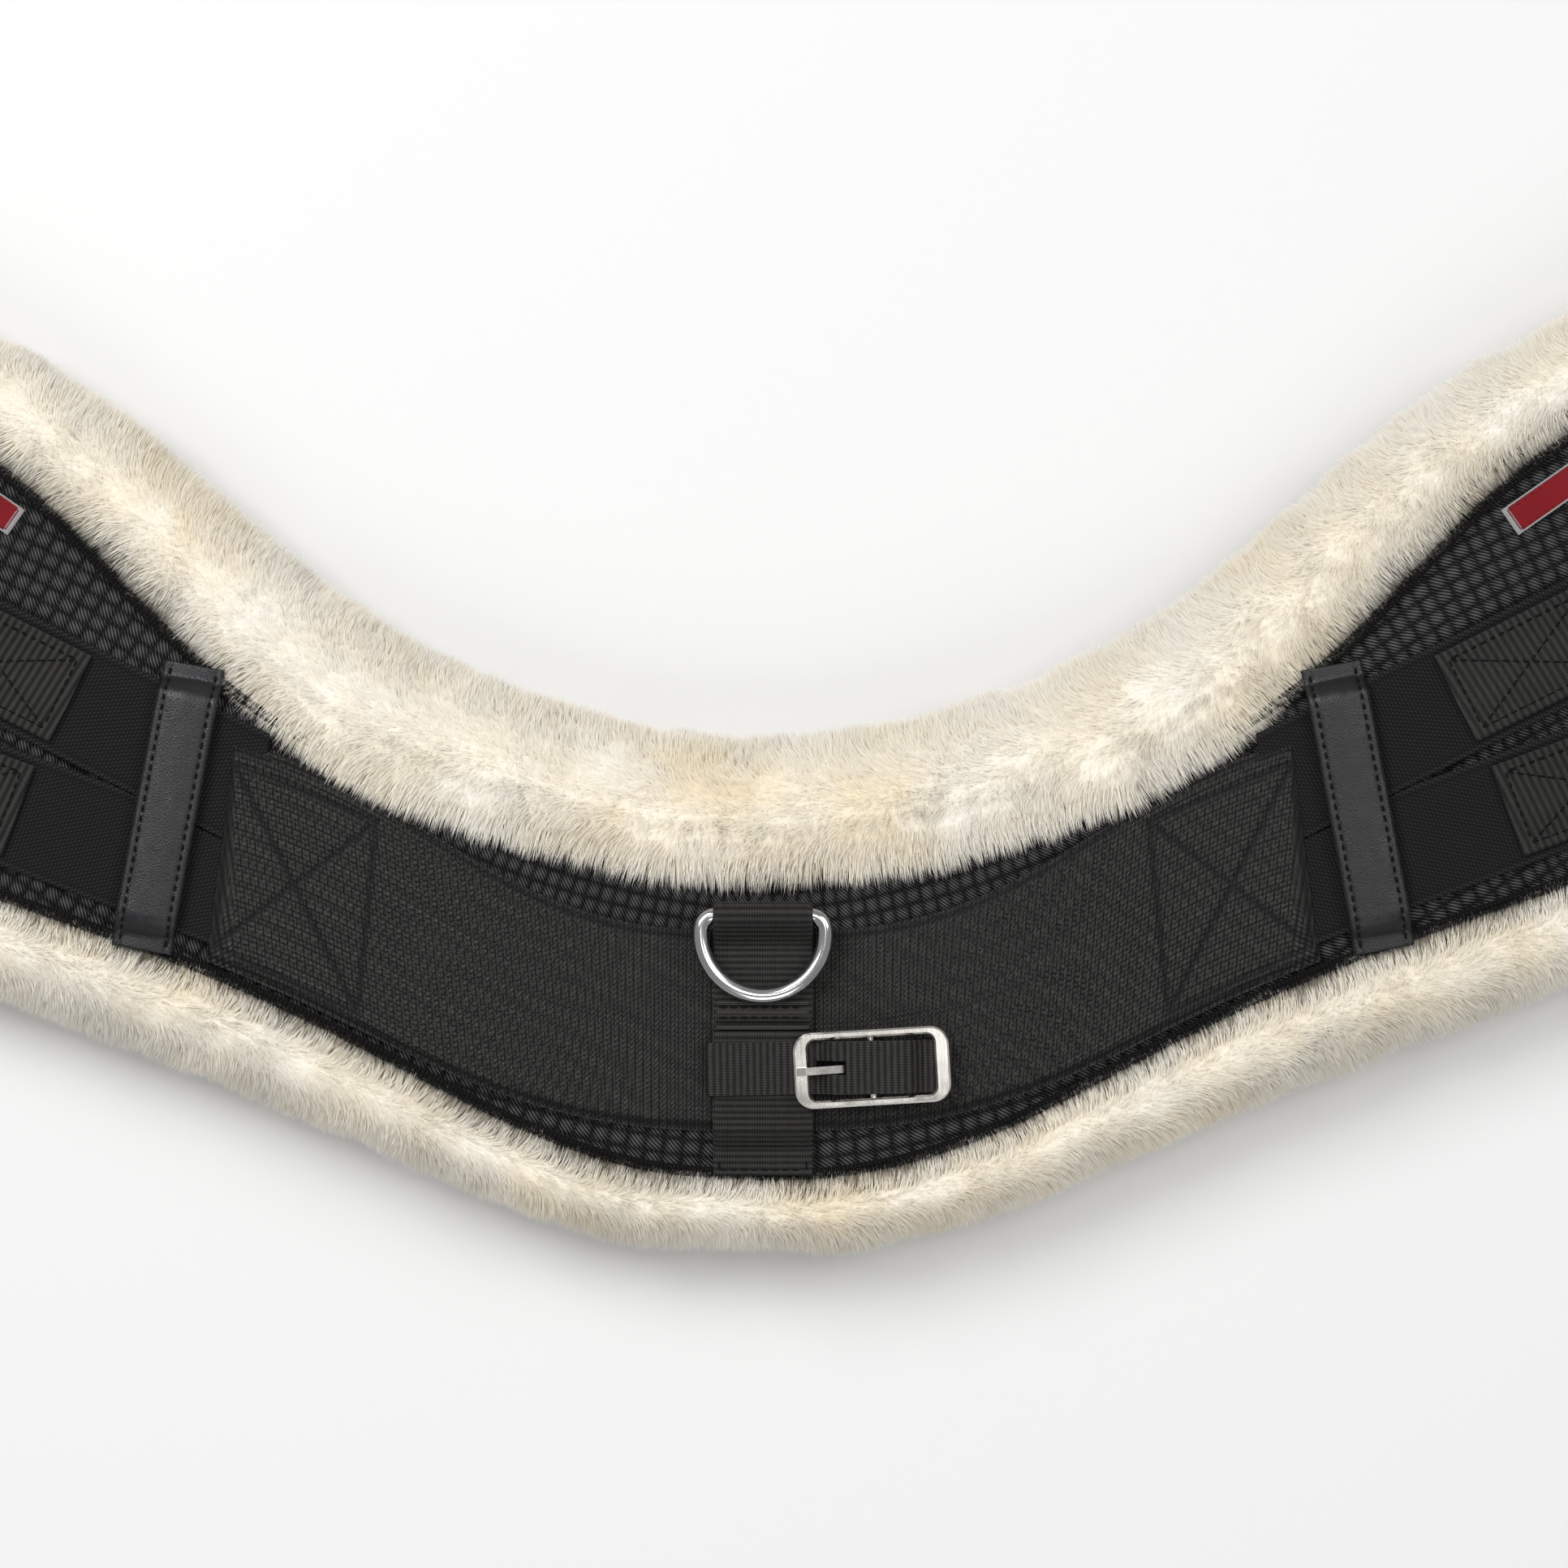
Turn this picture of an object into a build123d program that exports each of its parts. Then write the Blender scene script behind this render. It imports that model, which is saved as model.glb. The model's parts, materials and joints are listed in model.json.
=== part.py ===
"""Short anatomic saddle girth with a lambskin lining, lying flat with its outer face up.

Frame: +X along the girth, +Y towards its concave (rear) edge, +Z out of the outer face.
The origin is on the underside of the pile, on the line of the centre strip. Millimetres.
"""

import os
from math import cos, radians, sin, sqrt, tan

from build123d import *

# ---------------------------------------------------------------- layers, from the underside up
PILE_DEPTH = 20.0  # pile under the hide
HIDE_THICK = 1.5
VELOUR_THICK = 2.0
CORE_THICK = 8.5
SHELL_THICK = 2.0
PANEL_THICK = 3.0
LIP_THICK = 0.8  # binding standing above the shell's face
RIM_ABOVE_SHELL = 1.5  # pile standing round the shell
RIM_GAP = 0.5  # between the backing's edge and the pile
PILE_ROUND = 9.0  # rounding of the pile's outer edges

HIDE_Z = PILE_DEPTH
VELOUR_Z = HIDE_Z + HIDE_THICK
CORE_Z = VELOUR_Z + VELOUR_THICK
SHELL_Z = CORE_Z + CORE_THICK
FACE_Z = SHELL_Z + SHELL_THICK  # the outer face that the straps lie on
PANEL_TOP = FACE_Z + PANEL_THICK

# ---------------------------------------------------------------- outlines, right half
# The backing's outline, from the middle of the front edge round the end to the rear edge.
BACKING_HALF = [
    (0, -43.0), (28, -41.0), (55, -33.5), (100, -11.5), (150, 12.0), (200, 30.0), (258, 51.0),
    (302, 68.0), (328, 83.0), (344, 103.0), (347, 132.0), (338, 162.0), (321, 180.0), (294, 188.0),
    (262, 181.5), (228, 167.0), (200, 150.0), (172, 124.0), (140, 92.5), (100, 68.0), (50, 51.0),
    (0, 45.0),
]
# The pile's outline, the same way round.
PILE_HALF = [
    (0, -61.0), (30, -59.5), (60, -52.0), (100, -35.5), (150, -15.0), (200, 4.0), (262, 27.0),
    (312, 45.0), (348, 65.0), (368, 94.0), (372, 130.0), (363, 170.0), (340, 199.0), (302, 213.0),
    (262, 208.0), (228, 196.0), (200, 181.0), (172, 164.0), (140, 137.0), (100, 105.5), (50, 84.0),
    (0, 76.0),
]
# The centre panel's rear edge and end, then its front edge, right half.
PANEL_REAR = [(0, 24.6), (35, 26.8), (60, 35.0), (100, 58.0), (138.3, 73.7)]
PANEL_FRONT = [(145.8, 16.6), (100, -4.3), (60, -21.0), (35, -26.4), (0, -28.0)]

OUTLINE_STEPS = 120  # points that carry an outline inwards
BINDING_IN = 2.2  # backing's edge to binding
BINDING_WALL = 2.8
CORE_SLACK = 0.2  # between the core and the binding

# ---------------------------------------------------------------- webbing straps and their elastics
ELASTIC_WIDTH = 30.0
STRAP_WIDTH = 25.0
STRAP_THICK = 1.6
LAYER_GAP = 0.1  # between layers that slide on or are sewn to each other
LAY_GAP = 0.3  # between a strap and the outer face
UPPER_ROOT = (159.4, 74.4)  # where the upper strap's line leaves its keeper
UPPER_ANGLE = 26.5
UPPER_START = 24.0  # from there to the webbing's inner end
LOWER_ROOT = (167.5, 45.6)
LOWER_ANGLE = 20.5
LOWER_START = 29.0
ELASTIC_LAP = 44.0  # webbing sewn over the elastic's outer end
BAR_AT = 125.0  # from the keeper to the buckle's hinge bar
RAMP_ANGLE = 30.0  # the webbing's rise to the bar
TUCK = 9.0  # elastic held under the centre panel's end
TUCK_GAP = 0.1
SEAM_GAP = 0.4  # between the two elastics where they meet

# ---------------------------------------------------------------- roller buckles
FRAME_WIRE = 4.5
FRAME_INNER = 26.0  # for a 25 mm strap
FRAME_LENGTH = 30.0  # hinge bar to roller, centre to centre
FRAME_CORNER = 3.5
BAR_GAP = 0.2  # webbing round a bar
ROLLER_DIAMETER = 8.0
ROLLER_GAP = 0.08  # radial running clearance
ROLLER_LENGTH = 22.0
TONGUE_WIDTH = 4.2
TONGUE_THICK = 2.6
TONGUE_REST_GAP = 0.25  # tongue above the roller
TONGUE_TIP = 6.0  # tongue beyond the roller's axis
EYE_WALL = 1.7
EYE_GAP = 0.08  # radial running clearance
EYE_SIDE_GAP = 0.6  # slot in the webbing beside the tongue's eye

# ---------------------------------------------------------------- centre strip and D-ring
STRIP_WIDTH = 26.0
STRIP_THICK = 1.4
STRIP_END = -39.5  # sewn over the front binding
D_WIRE = 4.2
D_INNER = 28.3
D_REACH = 23.0  # bar axis to the outside of the bow
D_BAR_Y = 28.7
D_CORNER = 4.0
D_LIE_GAP = 0.15

# ---------------------------------------------------------------- small strap and its buckle
SMALL_WIDTH = 13.8
SMALL_THICK = 1.1
SMALL_Y = -11.4
SMALL_TURN = 1.0  # degrees, the strap's line to +X
SMALL_LEFT = -15.2  # outside of the fold round the centre strip
SMALL_BUCKLE = (28.4, -10.9)  # the centre bar's middle
SMALL_BUCKLE_TURN = 3.4
SMALL_FRAME = (40.6, 19.8)
SMALL_WINDOW = (33.0, 15.9)
SMALL_PLATE = 2.0
SMALL_CORNERS = (4.8, 2.2)  # outer and inner radii
SMALL_BAR = 2.0  # centre bar's diameter
SMALL_BAR_GAP = 0.45  # strap round the centre bar
SMALL_TONGUE = 2.0
SMALL_SLOT = 3.6  # width of the tongue's hole in the strap
SMALL_HOLE = (7.0, 14.6)  # the hole's ends, from the centre bar
SMALL_CREST = 9.5  # the strap's raised part, to each side of the centre bar
SMALL_FALL = 4.0  # its slopes down to the strap's level
SMALL_RISE = 0.9  # the raised part above the folded layers

# ---------------------------------------------------------------- leather keepers and labels
KEEPER_WIDTH = 16.0
KEEPER_THICK = 1.6
KEEPER_FRONT = (162.6, 19.5)
KEEPER_REAR = (148.6, 94.0)
KEEPER_RISE = 3.8
KEEPER_FOOT = 4.0
LABEL_SIZE = (36.0, 8.0, 0.6)
LABEL_AT = (210.2, 141.6)
LABEL_ANGLE = 35.0

STRAPS = {
    "upper": (UPPER_ROOT, UPPER_ANGLE, UPPER_START),
    "lower": (LOWER_ROOT, LOWER_ANGLE, LOWER_START),
}
STRAP_LOW = FACE_Z + LAY_GAP  # underside of the elastic and of the webbing's return
RETURN_Z = STRAP_LOW + STRAP_THICK / 2
TOP_LAYER_Z = RETURN_Z + STRAP_THICK + LAYER_GAP
LOOP_RADIUS = FRAME_WIRE / 2 + BAR_GAP + STRAP_THICK / 2
BAR_Z = RETURN_Z + LOOP_RADIUS
HALF_FRAME = (FRAME_INNER + FRAME_WIRE) / 2


def mirrored(half):
    """The closed list of points that a right half and its mirror image make."""
    return half + [(-x, y) for x, y in reversed(half[1:-1])]


def outline(half, inset=0.0):
    """The face inside a closed smooth outline, moved inwards by inset."""
    edge = Spline(*mirrored(half), periodic=True)
    if inset:
        steps = [i / OUTLINE_STEPS for i in range(OUTLINE_STEPS)]
        edge = Spline(*[inwards(edge, step, inset) for step in steps], periodic=True)
    return make_face(edge)


def inwards(edge, share, inset):
    """The point that lies inset to the left of a counter-clockwise edge."""
    along = edge % share
    return (edge @ share) + Vector(-along.Y, along.X) * inset


def slab(sketch, low, high):
    return extrude(Pos(0, 0, low) * sketch, amount=high - low)


def ribbon(points, radii, thick, width, plane):
    """A flat strap of rectangular section along a path of straight runs and arcs.

    The points are (along, up) in plane, whose normal is across the strap.
    """
    line = plane * FilletPolyline(*points, radius=radii)
    start = Plane(origin=line @ 0, x_dir=plane.z_dir, z_dir=line % 0)
    return sweep(start * Rectangle(width, thick), path=line)


def bar_loop(bar, radius, rise, low_end, top_end, top_z, ramp=RAMP_ANGLE):
    """Points and radii of a strap that goes up over a bar and comes back under it.

    The path runs from top_end, at height top_z, round bar = (along, up), and back to low_end.
    """
    along, up = bar
    reach = along + radius
    corner_z = up - radius + radius + radius * tan(radians(90 + ramp) / 2) + rise
    ramp_start = reach - (corner_z - top_z) / tan(radians(ramp))
    points = [(top_end, top_z), (ramp_start, top_z), (reach, corner_z), (reach, up - radius)]
    return points + [(low_end, up - radius)], [radius * 1.5, radius, radius]


def strap_plane(root, angle):
    """The upright plane along a strap's line: x along the strap, y up."""
    along = Vector(cos(radians(angle)), sin(radians(angle)), 0)
    return Plane(origin=(root[0], root[1], 0), x_dir=along, z_dir=along.cross(Vector(0, 0, 1)))


def strap_place(root, angle, along, up):
    """Carries a piece made at a strap's own origin, along +X, to its place on the strap."""
    return Pos(root[0], root[1], 0) * Rot(0, 0, angle) * Pos(along, 0, up)


# ---------------------------------------------------------------- padded body
def lambskin_pile():
    body = slab(outline(PILE_HALF), 0, FACE_Z + RIM_ABOVE_SHELL)
    body = fillet(body.edges().group_by(Axis.Z)[-1] + body.edges().group_by(Axis.Z)[0], PILE_ROUND)
    return body - slab(outline(BACKING_HALF, -RIM_GAP), HIDE_Z, PANEL_TOP + 5)


def lambskin_hide():
    return slab(outline(BACKING_HALF), HIDE_Z, VELOUR_Z)


def velour_backing():
    return slab(outline(BACKING_HALF), VELOUR_Z, CORE_Z)


def foam_core():
    return slab(outline(BACKING_HALF, BINDING_IN + BINDING_WALL + CORE_SLACK), CORE_Z, SHELL_Z)


def outer_shell():
    return slab(outline(BACKING_HALF, BINDING_IN + BINDING_WALL), SHELL_Z, FACE_Z)


def edge_binding():
    wall = outline(BACKING_HALF, BINDING_IN) - outline(BACKING_HALF, BINDING_IN + BINDING_WALL)
    return slab(wall, CORE_Z, FACE_Z + LIP_THICK)


def centre_panel(elastics):
    rear = [(-x, y) for x, y in reversed(PANEL_REAR[1:])] + PANEL_REAR
    front = PANEL_FRONT + [(-x, y) for x, y in reversed(PANEL_FRONT[:-1])]
    rear_edge, front_edge = Spline(*rear), Spline(*front)
    ends = [Line(rear[-1], front[0]), Line(front[-1], rear[0])]
    panel = slab(make_face(Wire([rear_edge, ends[0], front_edge, ends[1]])), FACE_Z, PANEL_TOP)
    pocket_top = STRAP_LOW + STRAP_THICK + TUCK_GAP
    for elastic in elastics:
        shadow = elastic.faces().sort_by(Axis.Z)[0]
        tool = offset(Pos(0, 0, FACE_Z - shadow.center().Z) * shadow, amount=TUCK_GAP)
        panel -= extrude(tool, amount=pocket_top - FACE_Z, dir=(0, 0, 1))
    return panel


def edge_label():
    place = Pos(*LABEL_AT, FACE_Z) * Rot(0, 0, LABEL_ANGLE)
    return place * Box(*LABEL_SIZE, align=(Align.CENTER, Align.CENTER, Align.MIN))


# ---------------------------------------------------------------- straps, right side
def panel_end_cut():
    """Everything further in than the elastics' tucked ends."""
    top, bottom = Vector(*PANEL_REAR[-1]), Vector(*PANEL_FRONT[0])
    edge = (bottom - top).normalized()
    inward = Vector(edge.Y, -edge.X)
    if inward.X > 0:
        inward = inward * -1
    reach = 60
    corner = [top + inward * TUCK - edge * reach, bottom + inward * TUCK + edge * reach]
    return Polyline(*corner, corner[1] + inward * reach, corner[0] + inward * reach, close=True)


def elastic(name):
    root, angle, start = STRAPS[name]
    outer = start + ELASTIC_LAP
    inner = -60.0
    plan = strap_place(root, angle, (outer + inner) / 2, 0) * Rectangle(outer - inner, ELASTIC_WIDTH)
    plan -= make_face(panel_end_cut())
    if name == "lower":
        root, angle, start = STRAPS["upper"]
        across = -(ELASTIC_WIDTH / 2 + SEAM_GAP) + ELASTIC_WIDTH
        plan -= strap_place(root, angle, 0, 0) * Pos(0, across) * Rectangle(200, 2 * ELASTIC_WIDTH)
    return slab(plan, STRAP_LOW, STRAP_LOW + STRAP_THICK)


def buckle_strap(name):
    root, angle, start = STRAPS[name]
    points, radii = bar_loop(
        (BAR_AT, BAR_Z), LOOP_RADIUS, 0.05, start + ELASTIC_LAP + 0.5, start, TOP_LAYER_Z
    )
    strap = ribbon(points, radii, STRAP_THICK, STRAP_WIDTH, strap_plane(root, angle))
    slot_length = 2 * (EYE_WALL + FRAME_WIRE / 2) + 14
    slot = Box(slot_length, TONGUE_WIDTH + 2 * EYE_SIDE_GAP, 12)
    return strap - strap_place(root, angle, BAR_AT + 1.5, BAR_Z) * slot


def buckle_frame(name):
    root, angle, _ = STRAPS[name]
    corner = [
        (0, -HALF_FRAME), (FRAME_LENGTH, -HALF_FRAME), (FRAME_LENGTH, HALF_FRAME), (0, HALF_FRAME),
    ]
    path = FilletPolyline(*corner, radius=FRAME_CORNER, close=True)
    start = Plane(origin=path @ 0, z_dir=path % 0)
    ring = sweep(start * Circle(FRAME_WIRE / 2), path=path)
    return strap_place(root, angle, BAR_AT, BAR_Z) * ring


def buckle_roller(name):
    root, angle, _ = STRAPS[name]
    bore = FRAME_WIRE / 2 + ROLLER_GAP
    tube = Cylinder(ROLLER_DIAMETER / 2, ROLLER_LENGTH) - Cylinder(bore, ROLLER_LENGTH)
    tube = chamfer(tube.edges().filter_by(GeomType.CIRCLE).group_by(SortBy.RADIUS)[-1], 0.4)
    return strap_place(root, angle, BAR_AT + FRAME_LENGTH, BAR_Z) * Rot(90, 0, 0) * tube


def tongue(eye_bore, eye_wall, width, thick, rest, length):
    """A buckle tongue along +X with its eye on the Y axis; rest is (along, underside height)."""
    outer = eye_bore + eye_wall
    slope = (rest[1] + thick / 2) / rest[0]
    start, tip = outer - 0.5, length
    blade = Polyline(
        (start, slope * start - thick / 2), (rest[0], rest[1]), (tip, rest[1] - thick * 0.1),
        (tip, rest[1] + thick * 0.55), (rest[0], rest[1] + thick), (start, slope * start + thick / 2),
        close=True,
    )
    profile = Circle(outer) + make_face(blade) - Circle(eye_bore)
    return extrude(Plane.XZ * profile, amount=width / 2, both=True)


def buckle_tongue(name):
    root, angle, _ = STRAPS[name]
    rest = (FRAME_LENGTH, ROLLER_DIAMETER / 2 + TONGUE_REST_GAP)
    made = tongue(
        FRAME_WIRE / 2 + EYE_GAP, EYE_WALL, TONGUE_WIDTH, TONGUE_THICK, rest, FRAME_LENGTH + TONGUE_TIP
    )
    return strap_place(root, angle, BAR_AT, BAR_Z) * made


def leather_keeper():
    front, rear = Vector(*KEEPER_FRONT), Vector(*KEEPER_REAR)
    run = rear - front
    length = run.length
    along = run.normalized()
    plane = Plane(origin=front, x_dir=along, z_dir=along.cross(Vector(0, 0, 1)))
    foot = FACE_Z + LIP_THICK + LAYER_GAP + KEEPER_THICK / 2
    top = foot + KEEPER_RISE
    ramp = KEEPER_FOOT + KEEPER_RISE
    points = [
        (0, foot), (KEEPER_FOOT, foot), (ramp, top), (length - ramp, top),
        (length - KEEPER_FOOT, foot), (length, foot),
    ]
    return ribbon(points, [2.0, 4.0, 4.0, 2.0], KEEPER_THICK, KEEPER_WIDTH, plane)


# ---------------------------------------------------------------- centre strip and D-ring
D_Z = PANEL_TOP + 2 * STRIP_THICK + 3 * LAYER_GAP + D_LIE_GAP + D_WIRE / 2
LOW_STRIP_Z = PANEL_TOP + 0.05 + STRIP_THICK / 2
BRIDGE_Z = PANEL_TOP + SMALL_THICK + 0.4 + STRIP_THICK / 2


def centre_strip():
    radius = D_WIRE / 2 + BAR_GAP + STRIP_THICK / 2
    top_z = LOW_STRIP_Z + STRIP_THICK + LAYER_GAP
    points, radii = bar_loop((D_BAR_Y, D_Z), radius, 0.05, 24.5, 1.0, top_z, 45)
    lip_z = FACE_Z + LIP_THICK + 0.05 + STRIP_THICK / 2
    points += [
        (21.5, LOW_STRIP_Z), (-0.2, LOW_STRIP_Z), (-2.2, BRIDGE_Z), (-27.6, BRIDGE_Z), (-32.2, lip_z),
        (STRIP_END, lip_z),
    ]
    radii += [1.2] * 6
    plane = Plane(origin=(0, 0, 0), x_dir=(0, 1, 0), z_dir=(1, 0, 0))
    return ribbon(points, radii, STRIP_THICK, STRIP_WIDTH, plane)


def d_ring():
    half = (D_INNER + D_WIRE) / 2
    bow = D_REACH - D_WIRE / 2
    arm = bow - half  # the straight arms take what the half circle leaves
    corner = min(D_CORNER, 0.95 * arm)
    path = FilletPolyline((half, -arm), (half, 0), (-half, 0), (-half, -arm), radius=corner)
    path += ThreePointArc((-half, -arm), (0, -bow), (half, -arm))
    start = Plane(origin=path @ 0, z_dir=path % 0)
    return Pos(0, D_BAR_Y, D_Z) * sweep(start * Circle(D_WIRE / 2), path=path)


# ---------------------------------------------------------------- small strap and buckle
SMALL_BACK_Z = PANEL_TOP + 0.15 + SMALL_THICK / 2
SMALL_FRONT_Z = BRIDGE_Z + STRIP_THICK / 2 + LAYER_GAP + SMALL_THICK / 2
SMALL_LOOP = SMALL_BAR / 2 + SMALL_BAR_GAP + SMALL_THICK / 2
SMALL_BAR_Z = SMALL_BACK_Z + SMALL_LOOP
SMALL_OVER_Z = SMALL_BAR_Z + SMALL_LOOP + SMALL_THICK + SMALL_RISE
SMALL_PLATE_Z = SMALL_FRONT_Z + SMALL_THICK / 2 + 0.2


def small_strap():
    fold = (SMALL_FRONT_Z - SMALL_BACK_Z) / 2
    left = SMALL_LEFT + SMALL_THICK / 2
    bar_x = SMALL_BUCKLE[0]
    tail = bar_x + SMALL_FRAME[0] / 2 + 0.5
    reach = bar_x + SMALL_LOOP
    foot = SMALL_CREST + SMALL_FALL
    points = [
        (tail, SMALL_FRONT_Z), (bar_x + foot, SMALL_FRONT_Z), (bar_x + SMALL_CREST, SMALL_OVER_Z),
        (bar_x - SMALL_CREST, SMALL_OVER_Z), (bar_x - foot, SMALL_FRONT_Z), (left, SMALL_FRONT_Z),
        (left, SMALL_BACK_Z), (reach, SMALL_BACK_Z), (reach, SMALL_BAR_Z + SMALL_LOOP),
        (bar_x - 1.6, SMALL_BAR_Z + SMALL_LOOP),
    ]
    radii = [2.0, 2.5, 2.5, 2.0, fold * 0.98, fold * 0.98, SMALL_LOOP * 0.98, SMALL_LOOP * 0.98]
    plane = Plane(origin=(0, 0, 0), x_dir=(1, 0, 0), z_dir=(0, -1, 0))
    strap = ribbon(points, radii, SMALL_THICK, SMALL_WIDTH, plane)
    near, far = SMALL_HOLE
    hole = Pos(bar_x - (near + far) / 2, 0, SMALL_OVER_Z) * Box(far - near, SMALL_SLOT, 20.0)
    eye = Pos(bar_x, 0, SMALL_BAR_Z) * Box(7.6, SMALL_SLOT, 2 * SMALL_LOOP + 1.3)
    return Pos(0, SMALL_Y, 0) * Rot(0, 0, SMALL_TURN) * (strap - hole - eye)


def small_place():
    return Pos(*SMALL_BUCKLE, 0) * Rot(0, 0, SMALL_BUCKLE_TURN)


def small_buckle_frame():
    plate = RectangleRounded(*SMALL_FRAME, SMALL_CORNERS[0])
    plate -= RectangleRounded(*SMALL_WINDOW, SMALL_CORNERS[1])
    frame = slab(plate, SMALL_PLATE_Z, SMALL_PLATE_Z + SMALL_PLATE)
    frame = chamfer(frame.edges().group_by(Axis.Z)[-1], 0.5)
    wall = (SMALL_FRAME[1] - SMALL_WINDOW[1]) / 2
    lug_y = (SMALL_FRAME[1] - wall) / 2
    low = SMALL_BAR_Z - SMALL_BAR / 2 - 0.2
    lug = Box(3.0, wall, SMALL_PLATE_Z + 0.5 - low, align=(Align.CENTER, Align.CENTER, Align.MIN))
    for y in (-lug_y, lug_y):
        frame += Pos(0, y, low) * lug
    bar = Pos(0, 0, SMALL_BAR_Z) * Rot(90, 0, 0) * Cylinder(SMALL_BAR / 2, 2 * lug_y)
    return small_place() * (frame + bar)


def small_buckle_tongue():
    rest_x = (SMALL_WINDOW[0] + SMALL_FRAME[0]) / 4
    rest = (rest_x - 1.0, SMALL_PLATE_Z + SMALL_PLATE + 0.15 - SMALL_BAR_Z)
    made = tongue(SMALL_BAR / 2 + EYE_GAP, 0.9, SMALL_TONGUE, 1.4, rest, rest_x + 1.2)
    return small_place() * Pos(0, 0, SMALL_BAR_Z) * Rot(0, 0, 180) * made


def build():
    pieces = {
        "lambskin_pile": lambskin_pile(),
        "lambskin_hide": lambskin_hide(),
        "velour_backing": velour_backing(),
        "foam_core": foam_core(),
        "outer_shell": outer_shell(),
        "edge_binding": edge_binding(),
        "centre_strip": centre_strip(),
        "d_ring": d_ring(),
        "small_strap": small_strap(),
        "small_buckle_frame": small_buckle_frame(),
        "small_buckle_tongue": small_buckle_tongue(),
    }
    sided = {"leather_keeper": leather_keeper(), "edge_label": edge_label()}
    for name in STRAPS:
        sided[f"{name}_elastic"] = elastic(name)
        sided[f"{name}_buckle_strap"] = buckle_strap(name)
        sided[f"{name}_buckle_frame"] = buckle_frame(name)
        sided[f"{name}_buckle_roller"] = buckle_roller(name)
        sided[f"{name}_buckle_tongue"] = buckle_tongue(name)
    for name, piece in sided.items():
        pieces[f"right_{name}"] = piece
        pieces[f"left_{name}"] = mirror(piece, about=Plane.YZ)
    elastics = [piece for name, piece in pieces.items() if name.endswith("_elastic")]
    pieces["centre_panel"] = centre_panel(elastics)
    return pieces


def main():
    os.makedirs("parts", exist_ok=True)
    for name, piece in build().items():
        export_step(piece, f"parts/{name}.step")


main()
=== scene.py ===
"""Short saddle girth with a lambskin lining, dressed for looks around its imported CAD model."""

import json
import math

import bpy
import numpy as np
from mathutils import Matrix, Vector
from mathutils.bvhtree import BVHTree
from mathutils.kdtree import KDTree


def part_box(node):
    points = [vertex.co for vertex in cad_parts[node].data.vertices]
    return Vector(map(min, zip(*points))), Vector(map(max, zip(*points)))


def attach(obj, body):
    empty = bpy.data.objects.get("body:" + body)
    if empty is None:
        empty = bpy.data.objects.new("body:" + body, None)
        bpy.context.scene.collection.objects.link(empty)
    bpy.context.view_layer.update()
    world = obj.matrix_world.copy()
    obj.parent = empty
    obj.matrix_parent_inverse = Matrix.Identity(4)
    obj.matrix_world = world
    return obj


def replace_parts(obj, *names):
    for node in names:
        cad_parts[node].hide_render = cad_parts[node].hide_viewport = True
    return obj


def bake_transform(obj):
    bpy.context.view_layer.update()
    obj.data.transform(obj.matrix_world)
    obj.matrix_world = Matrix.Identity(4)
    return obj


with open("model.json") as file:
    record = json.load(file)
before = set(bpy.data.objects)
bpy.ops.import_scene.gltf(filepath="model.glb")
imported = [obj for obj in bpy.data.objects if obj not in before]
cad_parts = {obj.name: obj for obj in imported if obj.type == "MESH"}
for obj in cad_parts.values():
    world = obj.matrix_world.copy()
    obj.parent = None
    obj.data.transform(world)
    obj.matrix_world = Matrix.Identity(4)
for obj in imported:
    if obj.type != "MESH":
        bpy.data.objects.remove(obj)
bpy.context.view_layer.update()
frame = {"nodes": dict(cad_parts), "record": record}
MM = 0.001
SIDES = {"right": 1, "left": -1}
STRAPS = ("upper", "lower")
JOINTS = {j["name"]: j for j in frame["record"]["behaviour"]["joints"]}


# ------------------------------------------------------------------ meshes
def link_new(name, data):
    """A new object in the scene."""
    made = bpy.data.objects.new(name, data)
    bpy.context.scene.collection.objects.link(made)
    return made


def mesh_piece(name, points, faces, body, slot, material, uv=None, **values):
    """A piece from points (n, 3) in metres and faces, a list of index arrays (k, 3) or (k, 4).
    uv is one (u, v) for each point, and values are float arrays kept on the points.
    """
    mesh = bpy.data.meshes.new(name)
    points = np.ascontiguousarray(points, np.float32)
    faces = [np.ascontiguousarray(f, np.int32) for f in faces if len(f)]
    corners = np.concatenate([f.ravel() for f in faces])
    sizes = np.concatenate([np.full(len(f), f.shape[1], np.int32) for f in faces])
    mesh.vertices.add(len(points))
    mesh.vertices.foreach_set("co", points.ravel())
    mesh.loops.add(len(corners))
    mesh.loops.foreach_set("vertex_index", corners)
    starts = np.concatenate([[0], np.cumsum(sizes)[:-1]])
    mesh.polygons.add(len(sizes))
    mesh.polygons.foreach_set("loop_start", starts.astype(np.int32))
    mesh.update(calc_edges=True)
    mesh.validate()
    mesh.polygons.foreach_set("use_smooth", np.full(len(mesh.polygons), True))
    if uv is not None:
        layer = mesh.uv_layers.new(name="cloth")
        index = np.zeros(len(mesh.loops), np.int32)
        mesh.loops.foreach_get("vertex_index", index)
        layer.data.foreach_set("uv", np.asarray(uv, np.float32)[index].ravel())
    for key, array in values.items():
        layer = mesh.attributes.new(key, "FLOAT", "POINT")
        layer.data.foreach_set("value", np.asarray(array, np.float32))
    piece = link_new(name, mesh)
    mesh.materials.append(material)
    if body:
        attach(piece, body)
    return piece


def grid_faces(rows, columns, wrap_rows=False, wrap_columns=False):
    """Quads of a grid of points kept row by row."""
    r = np.arange(rows if wrap_rows else rows - 1)
    c = np.arange(columns if wrap_columns else columns - 1)
    r, c = np.meshgrid(r, c, indexing="ij")
    r2, c2 = (r + 1) % rows, (c + 1) % columns
    quads = [r * columns + c, r * columns + c2, r2 * columns + c2, r2 * columns + c]
    return np.stack([q.ravel() for q in quads], axis=1)


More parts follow.
